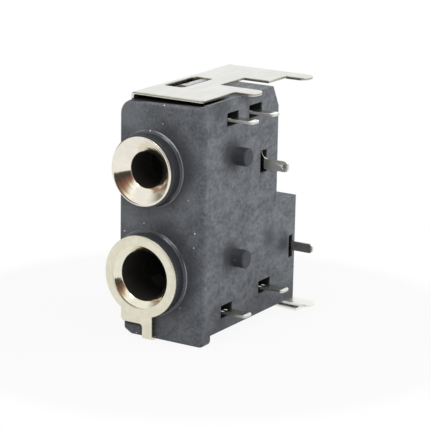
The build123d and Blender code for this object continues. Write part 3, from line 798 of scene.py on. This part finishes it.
@dataclass(frozen=True)
class PlasticFinish:
    """Dark grey filled plastic with cloudy flow marks, and painted light and shade in places."""

    name: str = "dark_grey_moulding"
    shape: Moulding = Moulding()
    dark: Colour = (0.066, 0.072, 0.082)
    light: Colour = (0.150, 0.160, 0.174)
    # Painted light on the front wall.
    light_patch: Colour = (0.190, 0.200, 0.218)
    line: Colour = (0.230, 0.240, 0.255)
    rubbed: Colour = (0.19, 0.20, 0.215)
    # The collars' own smooth dark plastic; it also paints the pegs and the painted shadows dark as
    # shade.
    smooth: Colour = (0.032, 0.034, 0.040)
    speck: Colour = (0.72, 0.72, 0.69)
    # Painted highlight at the collars' feet.
    foot_highlight: Colour = (0.36, 0.38, 0.42)
    # Painted shade in the recesses.
    inside: Colour = (0.017, 0.017, 0.016)
    # Painted shade in the gaps and the hole.
    deep: Colour = (0.005, 0.005, 0.005)
    # Painted light on the ledge.
    lit_ledge: Colour = (0.55, 0.52, 0.55)
    cloud_scale: float = 560.0
    grain_scale: float = 4600.0
    cloud_share: float = 0.5
    contrast: Pair = (0.34, 0.68)
    line_scale: float = 620.0
    line_curl: float = 2.0
    line_share: float = 0.32
    rub_width: float = 0.09 * MM
    rub_scale: float = 2500.0
    rub_share: float = 0.6
    speck_scale: float = 1900.0
    speck_chance: float = 0.78
    speck_radius: float = 0.11
    shine: float = 0.35
    gloss: float = 0.7
    gloss_rough: float = 0.15
    rough: Pair = (0.58, 0.44)
    collar_rough: float = -0.20
    inside_rough: float = 0.4
    cloud_height: float = 2.0
    line_height: float = 0.5
    smoothing: float = 0.8
    bump_depth: float = 0.008 * MM
    bump_strength: float = 0.8

    def build(self, effects: Effects) -> bpy.types.Material:
        """Make the finish.

        Args:
            effects: The shared effects.

        Returns:
            The material.
        """
        material, g = new_material(self.name)
        shader = g.add("ShaderNodeBsdfPrincipled")
        g.show(shader)
        masks = MouldingMasks(g, self.shape)
        mottle = use_group(g, effects.mottle, Cloud_Scale=self.cloud_scale, Grain_Scale=self.grain_scale)
        lines = use_group(g, effects.flow, Scale=self.line_scale, Curl=self.line_curl)["Lines"]
        rub = use_group(g, effects.rub, Width=self.rub_width, Break_Up=self.rub_scale)["Mask"]
        specks = use_group(
            g, effects.specks, Scale=self.speck_scale, Share=self.speck_chance, Radius=self.speck_radius
        )["Mask"]
        cloud = g.step(mottle["Cloud"], *self.contrast)
        grain = g.step(mottle["Grain"], *self.contrast)
        share = g.total((cloud, self.cloud_share), (grain, 1.0 - self.cloud_share))
        collars = masks.collars()
        # The collars are smoother dark plastic; the pegs are painted dark as shade.
        smooth = g.any_of(collars, masks.pegs())
        inside = masks.inside()
        colour = g.blend(share, self.dark, self.light)
        for mask, paint in (
            # Painted light on the front wall.
            (masks.light_patches(), self.light_patch),
            (g.all_of(lines, self.line_share), self.line),
            (g.all_of(rub, self.rub_share), self.rubbed),
            (smooth, self.smooth),
            (specks, self.speck),
            # Painted shadows round the pegs and collars, and painted shade spots.
            (masks.painted_shadows(), self.smooth),
            # Painted highlight at the collars' feet.
            (masks.foot_highlights(), self.foot_highlight),
            # Painted shade in the recesses.
            (inside, self.inside),
            # Painted shade in the gaps and the hole.
            (masks.painted_gap_shade(), self.deep),
            # Painted light on the ledge.
            (masks.lit_ledge(), self.lit_ledge),
        ):
            colour = g.blend(mask, colour, paint)
        rough = g.span(share, self.rough)
        rough = g.total((rough, 1.0), (collars, self.collar_rough), (inside, self.inside_rough))
        height = g.total(
            (mottle["Cloud"], self.cloud_height), (mottle["Grain"], 1.0), (lines, self.line_height)
        )
        height = g.all_of(height, g.none_of(g.all_of(smooth, self.smoothing)))
        g.feed(shader.inputs["Base Color"], colour)
        g.feed(shader.inputs["Specular IOR Level"], self.shine)
        g.feed(shader.inputs["Coat Roughness"], self.gloss_rough)
        g.feed(shader.inputs["Coat Weight"], g.all_of(collars, self.gloss))
        g.feed(shader.inputs["Roughness"], rough)
        g.feed(shader.inputs["Normal"], g.bump(height, self.bump_depth, self.bump_strength))
        return material


@dataclass(frozen=True)
class ConeFinish:
    """The polished cone of a mouth, and the thin tube behind it, painted dark as shade."""

    axis_height: float
    radius: float
    tube_from: float
    polished: float
    edge_soft: float = 0.06 * MM
    pitch: float = 0.20 * MM
    rings: float = 7.0
    # Painted shade: the tube's dark colour.
    tube_shade: Colour = (0.085, 0.082, 0.074)
    tube_rough: float = 0.75
    tube_fade: float = 0.12 * MM
    tube_edge: Pair = (-0.1 * MM, -0.2 * MM)

    def tube(self, g: Graph, radius: Socket) -> Socket:
        """Find the inside of the thin tube, which is painted dark as shade.

        Args:
            g: The finish's graph.
            radius: The distance from the axis.

        Returns:
            The mask.
        """
        _, y, _ = g.xyz()
        deep = g.step(y, self.tube_from, self.tube_from + self.tube_fade)
        outer, inner = self.tube_edge
        return g.all_of(deep, g.step(radius, self.radius + outer, self.radius + inner))


@dataclass(frozen=True)
class PinFinish:
    """Painted highlights on the pins: on their roots, their tips and the upper ones' skin."""

    root: float
    tip: float
    upper_from: float
    fronts: tuple[float, ...]
    # The colour of the painted highlights.
    colour: Colour = (0.93, 0.93, 0.91)
    rough: float = 0.42
    metal: float = 0.2
    soft: float = 0.12 * MM
    strip_soft: float = 0.1 * MM
    root_strip: float = 0.18 * MM
    upper_strip: float = 0.096 * MM
    outside: Pair = (-0.264 * MM, -0.168 * MM)
    lower_tip_shift: float = -0.168 * MM
    # Painted highlights favour faces that look up.
    facing: Pair = (0.3, 0.6)
    tip_side_share: float = 0.3
    upper_share: float = 0.35

    def clean(self, g: Graph) -> Socket:
        """Find the painted highlights.

        Args:
            g: The finish's graph.

        Returns:
            The mask.
        """
        x, y, z = g.xyz()
        facing_up = g.step(g.facing_up(), *self.facing)
        outside = g.step(x, self.root + self.outside[0], self.root + self.outside[1])
        at_root = g.step(x, self.root + self.soft, self.root)
        root = g.all_of(at_root, outside, facing_up, self._along_fronts(g, y, self.root_strip))
        lower = g.step(z, self.upper_from, 0.0)
        end = g.total((x, 1.0), (lower, self.lower_tip_shift))
        at_tip = g.step(end, self.tip, self.tip + self.soft)
        tip = g.all_of(at_tip, g.any_of(facing_up, self.tip_side_share))
        upper = g.step(z, self.upper_from, self.upper_from + MM)
        strip = self._along_fronts(g, y, self.upper_strip)
        return g.any_of(root, tip, g.all_of(upper, outside, strip, self.upper_share))

    def _along_fronts(self, g: Graph, along: Socket, width: float) -> Socket:
        """Find a strip along the front edge of each pin.

        Args:
            g: The finish's graph.
            along: The coordinate along the socket.
            width: How wide the strip is.

        Returns:
            The mask.
        """
        soft = self.strip_soft
        return g.any_of(*(g.within(along, edge - soft, edge + width, soft) for edge in self.fronts))


@dataclass(frozen=True)
class MetalFinish:
    """Plated sheet or turned metal, with the marks that a piece has."""

    name: str
    bright: Colour
    dull: Colour
    edge: Colour
    rough: float
    grain_along: Triple = (1.0, 1.0, 1.0)
    grain_scale: float = 2500.0
    grain_share: float = 0.6
    contrast: Pair = (0.35, 0.65)
    cloud_scale: float = 420.0
    fine_scale: float = 8000.0
    fine_height: float = 0.5
    rub_width: float = 0.04 * MM
    rub_scale: float = 4000.0
    rub_share: float = 0.55
    rough_spread: Pair = (1.15, 0.85)
    dent: float = 0.002 * MM
    sheared: Pair | None = None
    sheared_colour: Colour = (0.40, 0.38, 0.27)
    sheared_soft: float = 0.2
    upright: Pair = (0.55, 0.35)
    leg: Pair | None = None
    leg_colour: Colour = (0.90, 0.89, 0.84)
    pins: PinFinish | None = None
    cone: ConeFinish | None = None

    def build(self, effects: Effects) -> bpy.types.Material:
        """Make the finish.

        Args:
            effects: The shared effects.

        Returns:
            The material.
        """
        material, g = new_material(self.name)
        shader = g.add("ShaderNodeBsdfPrincipled")
        g.show(shader)
        lines = g.noise(g.stretched(self.grain_along), self.grain_scale, detail=4.0)
        mottle = use_group(g, effects.mottle, Cloud_Scale=self.cloud_scale, Grain_Scale=self.fine_scale)
        rub = use_group(g, effects.rub, Width=self.rub_width, Break_Up=self.rub_scale)["Mask"]
        share = g.total((lines, self.grain_share), (mottle["Cloud"], 1.0 - self.grain_share))
        share = g.step(share, *self.contrast)
        colour = g.blend(share, self.dull, self.bright)
        colour = g.blend(g.all_of(rub, self.rub_share), colour, self.edge)
        rougher, smoother = self.rough_spread
        rough = g.span(share, (self.rough * rougher, self.rough * smoother))
        height = g.total((lines, 1.0), (mottle["Grain"], self.fine_height))
        metal = 1.0
        if self.sheared:
            colour = g.blend(self._sheared_edge(g), colour, self.sheared_colour)
        if self.leg:
            colour = g.blend(g.step(g.xyz()[1], *self.leg), colour, self.leg_colour)
        if self.pins:
            # Painted highlights on the pins, pale and less metallic.
            clean = self.pins.clean(g)
            colour = g.blend(clean, colour, self.pins.colour)
            rough = g.between(clean, rough, self.pins.rough)
            metal = g.span(clean, (1.0, self.pins.metal))
        if self.cone:
            cone = self.cone
            turning = use_group(g, effects.turning, Axis_Height=cone.axis_height, Pitch=cone.pitch)
            inside = g.step(turning["Radius"], cone.radius, cone.radius - cone.edge_soft)
            tube = cone.tube(g, turning["Radius"])
            # Painted shade in the tube.
            colour = g.blend(tube, colour, cone.tube_shade)
            rough = g.between(inside, rough, cone.polished)
            rough = g.between(tube, rough, cone.tube_rough)
            rings = g.all_of(turning["Rings"], cone.rings)
            height = g.between(inside, height, rings)
        g.feed(shader.inputs["Base Color"], colour)
        g.feed(shader.inputs["Metallic"], metal)
        g.feed(shader.inputs["Roughness"], rough)
        g.feed(shader.inputs["Normal"], g.bump(height, self.dent))
        return material

    def _sheared_edge(self, g: Graph) -> Socket:
        """Find the dull torn stripe that punching leaves along the edge of a flat sheet.

        Args:
            g: The finish's graph.

        Returns:
            The mask.
        """
        low, high = self.sheared
        upright = g.step(g.sum(Op.ABS, g.facing_up()), *self.upright)
        return g.all_of(g.within(g.xyz()[2], low, high, self.sheared_soft * (high - low)), upright)


@dataclass(frozen=True)
class Softener:
    """Rounds the sharp edges of a copy of a node by a little."""

    width: float
    segments: int = 2
    sharp_degrees: float = 38.0
    flat_degrees: float = 0.6

    def copy_of(self, node: bpy.types.Object, name: str) -> bpy.types.Object:
        """Make a rounded copy of a node, as a piece that stands where the node stands."""
        return self.piece_of(self.softened(node), name)

    def softened(self, node: bpy.types.Object) -> bmesh.types.BMesh:
        """Copy a node's shape and round its sharp edges.

        Args:
            node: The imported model's node.

        Returns:
            The rounded shape.
        """
        shape = bmesh.new()
        shape.from_mesh(node.data)
        bmesh.ops.remove_doubles(shape, verts=shape.verts, dist=MERGE_GAP)
        bmesh.ops.dissolve_limit(
            shape,
            angle_limit=math.radians(self.flat_degrees),
            verts=shape.verts,
            edges=shape.edges,
        )
        sharp = [edge for edge in shape.edges if self._is_sharp(edge)]
        round_edges(shape, sharp, self.width, self.segments)
        return shape

    def piece_of(self, shape: bmesh.types.BMesh, name: str) -> bpy.types.Object:
        """Turn a shape into a smoothly shaded piece.

        Args:
            shape: The shape, which is freed.
            name: The name of the new piece.

        Returns:
            The piece, whose large flat faces stay flat.
        """
        mesh = to_mesh(shape, name)
        mesh.shade_smooth()
        mesh.set_sharp_from_angle(angle=math.radians(self.sharp_degrees))
        piece = place_in_scene(name, mesh)
        flatten = piece.modifiers.new("flat_faces_lead", "WEIGHTED_NORMAL")
        flatten.mode = "FACE_AREA"
        flatten.keep_sharp = True
        return piece

    def _is_sharp(self, edge: bmesh.types.BMEdge) -> bool:
        """Whether two faces meet at this edge at a clear angle."""
        both = len(edge.link_faces) == 2
        return both and edge.calc_face_angle(0.0) > math.radians(self.sharp_degrees)


def dress(piece: bpy.types.Object, material: bpy.types.Material, node: str) -> None:
    """Finish a piece and let it stand for a node.

    Args:
        piece: The new piece.
        material: Its finish.
        node: The node that it stands for.
    """
    piece.data.materials.clear()
    piece.data.materials.append(material)
    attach(piece, "root")
    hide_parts(node)
    log.info("%s stands for %s: %d faces", piece.name, node, len(piece.data.polygons))


@dataclass
class Housing:
    """The moulding, with its collars and pegs."""

    edge_round: float = 0.05 * MM

    def build(self, frame: dict, effects: Effects) -> None:
        """Make the softened moulding and dress it."""
        piece = Softener(self.edge_round).copy_of(frame["nodes"]["housing"], "moulded_housing")
        dress(piece, PlasticFinish().build(effects), "housing")


@dataclass(frozen=True)
class TurnedMouth:
    """One round metal mouth: a flange with a rolled rim, a cone and a thin tube."""

    axis_height: float
    bore: float
    cone: float
    flange: float
    cone_depth: float
    lip: float
    front: float = -1.24 * MM
    flange_thickness: float = 0.25 * MM
    wall: float = 0.2 * MM
    tube_end: float = 2.1 * MM
    rim: float = 0.075 * MM
    throat_round: float = 0.03 * MM
    turns: int = 160
    segments: int = 4
    near: float = 2e-6

    @property
    def throat(self) -> float:
        """Where the cone meets the tube."""
        return self.front + self.cone_depth

    @property
    def back(self) -> float:
        """The back of the flange."""
        return self.front + self.flange_thickness

    @property
    def tube(self) -> float:
        """The outer radius of the tube."""
        return self.bore + self.wall

    def outline(self) -> list[Triple]:
        """Draw the half section.

        Returns:
            The radius, depth and rounding of each corner.
        """
        lean = (self.cone - self.bore) / self.cone_depth
        cone_back = self.cone - self.flange_thickness * lean + self.wall
        return [
            (self.cone, self.front, self.lip),
            (self.flange, self.front, self.rim),
            (self.flange, self.back, self.rim),
            (cone_back, self.back, 0.0),
            (self.tube, self.throat, 0.0),
            (self.tube, self.tube_end, 0.0),
            (self.bore, self.tube_end, 0.0),
            (self.bore, self.throat, self.throat_round),
        ]

    def build(self) -> bmesh.types.BMesh:
        """Spin the half section into a closed ring.

        Returns:
            The ring, with its corners rounded.
        """
        shape = bmesh.new()
        axis = self.axis_height
        section = [shape.verts.new((radius, depth, axis)) for radius, depth, _ in self.outline()]
        for first, second in zip(section, section[1:] + section[:1]):
            shape.edges.new((first, second))
        bmesh.ops.spin(
            shape,
            geom=list(shape.verts) + list(shape.edges),
            cent=(0.0, 0.0, axis),
            axis=(0.0, 1.0, 0.0),
            angle=math.tau,
            steps=self.turns,
            use_merge=True,
        )
        bmesh.ops.remove_doubles(shape, verts=shape.verts, dist=MERGE_GAP)
        bmesh.ops.recalc_face_normals(shape, faces=shape.faces)
        for radius, depth, rounding in self.outline():
            if rounding > 0:
                circle = [edge for edge in shape.edges if self._is_on(edge, radius, depth)]
                round_edges(shape, circle, rounding, self.segments)
        return shape

    def _is_on(self, edge: bmesh.types.BMEdge, radius: float, depth: float) -> bool:
        """Tell whether an edge is part of the circle of one corner.

        Args:
            edge: The edge.
            radius: The corner's radius.
            depth: The corner's depth.

        Returns:
            Whether both ends are on the circle.
        """
        for point in (vertex.co for vertex in edge.verts):
            away = math.hypot(point.x, point.z - self.axis_height)
            if abs(away - radius) >= self.near or abs(point.y - depth) >= self.near:
                return False
        return True


@dataclass
class Mouths:
    """The two metal mouths, the lower one with its tab, strap and leg."""

    edge_round: float = 0.04 * MM
    ring_gap: float = 0.02 * MM
    leg: Pair = (9.0 * MM, 10.0 * MM)
    upper: TurnedMouth = TurnedMouth(
        axis_height=7.5 * MM,
        bore=1.3 * MM,
        cone=2.33 * MM,
        flange=2.45 * MM,
        cone_depth=0.75 * MM,
        lip=0.04 * MM,
    )
    lower: TurnedMouth = TurnedMouth(
        axis_height=0.0,
        bore=1.8 * MM,
        cone=2.28 * MM,
        flange=2.94 * MM,
        cone_depth=0.42 * MM,
        lip=0.09 * MM,
    )
    nickel: Colour = (0.86, 0.82, 0.73)
    nickel_dull: Colour = (0.82, 0.775, 0.68)
    nickel_rough: float = 0.22
    nickel_polished: float = 0.11
    tin: Colour = (0.83, 0.80, 0.665)
    tin_dull: Colour = (0.785, 0.755, 0.61)
    tin_rough: float = 0.36
    tin_polished: float = 0.12
    brass: Colour = (0.52, 0.44, 0.30)

    def build(self, frame: dict, effects: Effects) -> None:
        """Make the two mouths and dress them.

        Args:
            frame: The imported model.
            effects: The shared effects.
        """
        soft = Softener(self.edge_round)
        cone = self._cone(self.upper, self.nickel_polished)
        finish = MetalFinish(
            "bright_nickel", self.nickel, self.nickel_dull, self.brass, self.nickel_rough, cone=cone
        )
        piece = soft.piece_of(self.upper.build(), "flared_upper_mouth")
        dress(piece, finish.build(effects), "upper_mouth_ring")
        cone = self._cone(self.lower, self.tin_polished)
        finish = MetalFinish(
            "satin_tin", self.tin, self.tin_dull, self.brass, self.tin_rough, cone=cone, leg=self.leg
        )
        shape = soft.softened(frame["nodes"]["lower_mouth_ring_and_strap"])
        self._drop_ring(shape)
        self._add_ring(shape)
        piece = soft.piece_of(shape, "lower_mouth_and_strap")
        dress(piece, finish.build(effects), "lower_mouth_ring_and_strap")

    def _cone(self, mouth: TurnedMouth, polished: float) -> ConeFinish:
        """The finish of a mouth's cone."""
        return ConeFinish(mouth.axis_height, mouth.cone, mouth.throat, polished)

    def _drop_ring(self, shape: bmesh.types.BMesh) -> None:
        """Take the round ring out of the strap's shape, and close the strap's open end.

        Args:
            shape: The ring and strap in one.
        """
        ring = [face for face in shape.faces if all(self._in_ring(vertex.co) for vertex in face.verts)]
        bmesh.ops.delete(shape, geom=ring, context="FACES")
        open_edges = [edge for edge in shape.edges if edge.is_boundary]
        bmesh.ops.holes_fill(shape, edges=open_edges, sides=0)

    def _in_ring(self, point: Vector) -> bool:
        """Whether a point belongs to the lower mouth's flange or tube."""
        away = math.hypot(point.x, point.z - self.lower.axis_height)
        return point.y < self.lower.back + self.ring_gap or away < self.lower.tube + self.ring_gap

    def _add_ring(self, shape: bmesh.types.BMesh) -> None:
        """Add the turned ring to the strap's shape.

        Args:
            shape: The strap.
        """
        mesh = to_mesh(self.lower.build(), "turned_ring")
        shape.from_mesh(mesh)
        bpy.data.meshes.remove(mesh)


@dataclass
class GroundPlate:
    """The pale plate over the top."""

    edge_round: float = 0.04 * MM
    bright: Colour = (0.80, 0.80, 0.765)
    dull: Colour = (0.765, 0.765, 0.725)
    edge: Colour = (0.62, 0.59, 0.47)
    rough: float = 0.36
    grain_along: Triple = (1.0, 0.12, 1.0)
    dent: float = 0.001 * MM
    sheared: Pair = (12.43 * MM, 12.548 * MM)

    def build(self, frame: dict, effects: Effects) -> None:
        """Make the softened plate and dress it.

        Args:
            frame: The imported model.
            effects: The shared effects.
        """
        piece = Softener(self.edge_round).copy_of(frame["nodes"]["ground_plate"], "top_ground_plate")
        finish = MetalFinish(
            "satin_plate", self.bright, self.dull, self.edge, self.rough,
            grain_along=self.grain_along, dent=self.dent, sheared=self.sheared,
        )
        dress(piece, finish.build(effects), "ground_plate")


@dataclass
class Contacts:
    """The six stamped contacts."""

    edge_round: float = 0.03 * MM
    bright: Colour = (0.54, 0.53, 0.49)
    dull: Colour = (0.44, 0.43, 0.385)
    edge: Colour = (0.34, 0.30, 0.22)
    rough: float = 0.24
    grain_along: Triple = (0.15, 1.0, 1.0)
    pins: PinFinish = PinFinish(
        root=4.56 * MM,
        tip=5.95 * MM,
        upper_from=4.6 * MM,
        fronts=(2.42 * MM, 2.87 * MM, 5.70 * MM, 7.48 * MM, 7.95 * MM),
    )
    levels: tuple[str, ...] = ("upper", "lower")
    touches: tuple[str, ...] = ("sleeve", "ring", "tip")

    def build(self, frame: dict, effects: Effects) -> None:
        """Make the softened contacts and dress them.

        Args:
            frame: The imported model.
            effects: The shared effects.
        """
        finish = MetalFinish(
            "spring_contact_plate", self.bright, self.dull, self.edge, self.rough,
            grain_along=self.grain_along, pins=self.pins,
        ).build(effects)
        soft = Softener(self.edge_round)
        for level, touched in product(self.levels, self.touches):
            node = f"{level}_{touched}_contact"
            dress(soft.copy_of(frame["nodes"][node], f"{node}_strip"), finish, node)


@dataclass(frozen=True)
class PhotoCamera:
    """The camera that the photograph was taken with, as solved from the object's edges."""

    focal_px: float = 2051.48
    image_px: float = 430.0
    yaw: float = 31.962
    pitch: float = 14.737
    roll: float = 0.945
    distance: float = 144.836 * MM
    side_shift: float = 1.502 * MM
    up_shift: float = -0.978 * MM
    aim: Triple = (1.0 * MM, 4.0 * MM, 4.5 * MM)
    sensor: float = 36.0
    nearest: float = 5.0 * MM
    furthest: float = 10.0

    def axes(self) -> tuple[Vector, Vector, Vector]:
        """Work out which way the camera is turned.

        Returns:
            The camera's right, up and forward.
        """
        yaw, pitch, roll = map(math.radians, (self.yaw, self.pitch, self.roll))
        level = math.cos(pitch)
        forward = Vector((-math.sin(yaw) * level, math.cos(yaw) * level, -math.sin(pitch)))
        right = Vector((math.cos(yaw), math.sin(yaw), 0.0))
        up = right.cross(forward)
        turned_right = right * math.cos(roll) + up * math.sin(roll)
        turned_up = up * math.cos(roll) - right * math.sin(roll)
        return turned_right, turned_up, forward

    def build(self) -> None:
        """Make the camera and give it to the scene."""
        right, up, forward = self.axes()
        place = Vector(self.aim) - forward * self.distance
        place += right * self.side_shift + up * self.up_shift
        data = bpy.data.cameras.new("photo_camera")
        data.sensor_width = self.sensor
        data.lens = self.focal_px / self.image_px * self.sensor
        data.clip_start = self.nearest
        data.clip_end = self.furthest
        camera = place_in_scene("photo_camera", data)
        turn = Matrix((right, up, -forward)).transposed().to_4x4()
        camera.matrix_world = Matrix.Translation(place) @ turn
        bpy.context.scene.camera = camera


@dataclass(frozen=True)
class Lamp:
    """One soft square lamp, whose level is the light that reaches the object."""

    name: str
    way: Triple
    distance: float
    width: float
    level: float
    mirrored: bool = False

    def build(self, aim: Vector) -> None:
        """Place the lamp.

        Args:
            aim: The point that it faces.
        """
        way = Vector(self.way).normalized()
        data = bpy.data.lights.new(self.name, "AREA")
        data.shape = "SQUARE"
        data.size = self.width
        data.energy = self.level * math.pi**2 * self.distance**2
        lamp = place_in_scene(self.name, data)
        lamp.visible_glossy = self.mirrored
        lamp.location = aim + way * self.distance
        lamp.rotation_mode = "QUATERNION"
        lamp.rotation_quaternion = way.to_track_quat("Z", "Y")


def stage_piece(name: str, shape: bmesh.types.BMesh) -> tuple[bpy.types.Object, Graph]:
    """Turn a shape into an object that isn't part of the socket.

    Args:
        name: The name of the object and its material.
        shape: The shape, which is freed.

    Returns:
        The object and the graph of its empty material.
    """
    piece = place_in_scene(name, to_mesh(shape, name))
    material, g = new_material(name)
    piece.data.materials.append(material)
    return piece, g


@dataclass(frozen=True)
class Card:
    """A glowing card that only bright metal reflects.

    Its turn goes from the front towards the board, and its lift up from level, both in
    degrees as seen from the object.
    """

    name: str
    turn: float
    lift: float
    width: float
    height: float
    distance: float = 0.26

    def build(self, aim: Vector) -> Graph:
        """Stand the card up.

        Args:
            aim: The point that it faces.

        Returns:
            The graph of its empty material.
        """
        turn, lift = math.radians(self.turn), math.radians(self.lift)
        level = math.cos(lift)
        way = Vector((math.sin(turn) * level, -math.cos(turn) * level, math.sin(lift)))
        facing = way.to_track_quat("Z", "Y").to_matrix()
        shape = bmesh.new()
        bmesh.ops.create_grid(shape, x_segments=4, y_segments=8, size=0.5)
        bmesh.ops.scale(shape, vec=(self.width, self.height, 1.0), verts=shape.verts)
        bmesh.ops.rotate(shape, cent=(0.0, 0.0, 0.0), matrix=facing, verts=shape.verts)
        bmesh.ops.translate(shape, vec=aim + way * self.distance, verts=shape.verts)
        card, g = stage_piece(self.name, shape)
        card.visible_camera = False
        card.visible_diffuse = False
        card.visible_shadow = False
        return g


@dataclass
class Studio:
    """The floor, the world, the lamps and the two cards that the bright metal reflects."""

    aim: Triple = (1.0 * MM, 5.0 * MM, 4.0 * MM)
    floor_height: float = -4.87 * MM
    floor_side: float = 1.6
    floor_colour: Colour = (0.44, 0.44, 0.44)
    floor_shown_near: float = 0.92
    floor_reach: Pair = (0.004, 0.022)
    world_colour: Colour = (1.0, 1.0, 1.0)
    world_level: float = 0.35
    left_card: Card = Card("left_card", turn=-74.0, lift=20.0, width=0.12, height=0.18)
    left_card_colour: Colour = (0.20, 0.175, 0.125)
    left_card_top: Colour = (1.0, 1.0, 1.0)
    left_card_fade: Pair = (0.04, 0.17)
    front_card: Card = Card("dark_card", turn=11.0, lift=22.0, width=0.43, height=0.25)
    front_card_stops: tuple[tuple[float, Colour], ...] = (
        (-0.010, (0.070, 0.056, 0.045)),
        (0.070, (0.075, 0.058, 0.047)),
        (0.100, (0.18, 0.090, 0.072)),
        (0.130, (0.26, 0.135, 0.105)),
        (0.152, (0.42, 0.290, 0.190)),
        (0.170, (0.64, 0.540, 0.420)),
        (0.188, (1.08, 1.050, 0.980)),
        (0.216, (1.20, 1.200, 1.160)),
    )
    lamps: tuple[Lamp, ...] = (
        Lamp("front_top_lamp", (-0.20, -0.55, 0.80), distance=0.17, width=0.19, level=0.54),
        Lamp("right_front_lamp", (0.80, -0.62, 0.62), distance=0.08, width=0.06, level=0.30),
        Lamp("glint_lamp", (0.137, -0.475, 0.867), distance=0.17, width=0.05, level=0.12, mirrored=True),
        Lamp("right_rear_lamp", (0.80, 0.50, 0.55), distance=0.085, width=0.075, level=0.74),
    )

    def build(self) -> None:
        """Set up everything round the object."""
        self._world()
        self._floor()
        self._front_card()
        self._left_card()
        for lamp in self.lamps:
            lamp.build(Vector(self.aim))
        bpy.context.scene.view_settings.view_transform = "Standard"

    def _seen(self, g: Graph) -> Socket:
        """Find the rays from the camera and those that metal and glass reflect.

        Args:
            g: The graph to add to.

        Returns:
            1 for those rays, 0 for the others.
        """
        rays = g.add("ShaderNodeLightPath").outputs
        return g.any_of(rays["Is Camera Ray"], rays["Is Glossy Ray"], rays["Is Transmission Ray"])

    def _world(self) -> None:
        """Set a plain white surround, weaker as a light than as a backdrop."""
        world = bpy.data.worlds.new("studio_surround")
        bpy.context.scene.world = world
        world.use_nodes = True
        world.node_tree.nodes.clear()
        g = Graph(world.node_tree)
        background = g.add("ShaderNodeBackground")
        g.feed(background.inputs["Color"], (*self.world_colour, 1.0))
        g.feed(background.inputs["Strength"], g.span(self._seen(g), (self.world_level, 1.0)))
        g.show(background, "ShaderNodeOutputWorld")

    def _floor(self) -> None:
        """Lay a plain pale floor that keeps the object's shadow and is white further out."""
        shape = bmesh.new()
        bmesh.ops.create_grid(shape, x_segments=1, y_segments=1, size=self.floor_side / 2)
        bmesh.ops.translate(shape, verts=shape.verts, vec=(0.0, 0.0, self.floor_height))
        _, g = stage_piece("pale_floor", shape)
        matt = g.add("ShaderNodeBsdfDiffuse")
        g.feed(matt.inputs["Color"], (*self.floor_colour, 1.0))
        white = g.add("ShaderNodeEmission")
        x, y, _ = g.xyz()
        far = g.step(g.distance(x, y, self.aim[:2]), *self.floor_reach)
        mix = g.add("ShaderNodeMixShader")
        g.feed(mix.inputs[0], g.all_of(self._seen(g), g.any_of(far, self.floor_shown_near)))
        g.feed(mix.inputs[1], matt.outputs[0])
        g.feed(mix.inputs[2], white.outputs[0])
        g.show(mix)

    def _left_card(self) -> None:
        """Stand up the card to the left, dim below and white at its top."""
        g = self.left_card.build(Vector(self.aim))
        fading = g.step(g.xyz()[2], *self.left_card_fade)
        self._glow(g, g.blend(fading, self.left_card_colour, self.left_card_top))

    def _front_card(self) -> None:
        """Stand up the tall card behind the camera, dark below and white above."""
        g = self.front_card.build(Vector(self.aim))
        reach = (self.front_card_stops[0][0], self.front_card_stops[-1][0])
        share = g.span(g.xyz()[2], (0.0, 1.0), reach)
        ramp = g.add("ShaderNodeValToRGB")
        g.feed(ramp.inputs["Fac"], share)
        self._fill(ramp.color_ramp, *reach)
        self._glow(g, ramp.outputs["Color"])

    def _fill(self, ramp: bpy.types.ColorRamp, low: float, high: float) -> None:
        """Give a colour ramp the front card's stops.

        Args:
            ramp: The colour ramp.
            low: The height of its start.
            high: The height of its end.
        """
        while len(ramp.elements) > 1:
            ramp.elements.remove(ramp.elements[-1])
        for number, (height, colour) in enumerate(self.front_card_stops):
            position = (height - low) / (high - low)
            stop = ramp.elements.new(position) if number else ramp.elements[0]
            stop.position = position
            stop.color = (*colour, 1.0)

    def _glow(self, g: Graph, colour: Socket) -> None:
        """Let a card glow in a colour.

        Args:
            g: The graph of its material.
            colour: The colour, whose strength is its brightness.
        """
        glow = g.add("ShaderNodeEmission")
        g.feed(glow.inputs["Color"], colour)
        g.show(glow)


def main() -> None:
    """Build every piece in order, and log each piece's face count as it is dressed."""
    logging.basicConfig(level=logging.INFO, format="%(message)s")
    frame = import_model()
    effects = Effects()
    for part in (Housing(), Mouths(), GroundPlate(), Contacts()):
        part.build(frame, effects)
        log.info("%s is dressed", type(part).__name__)
    Studio().build()
    PhotoCamera().build()


if __name__ == "__main__":
    main()
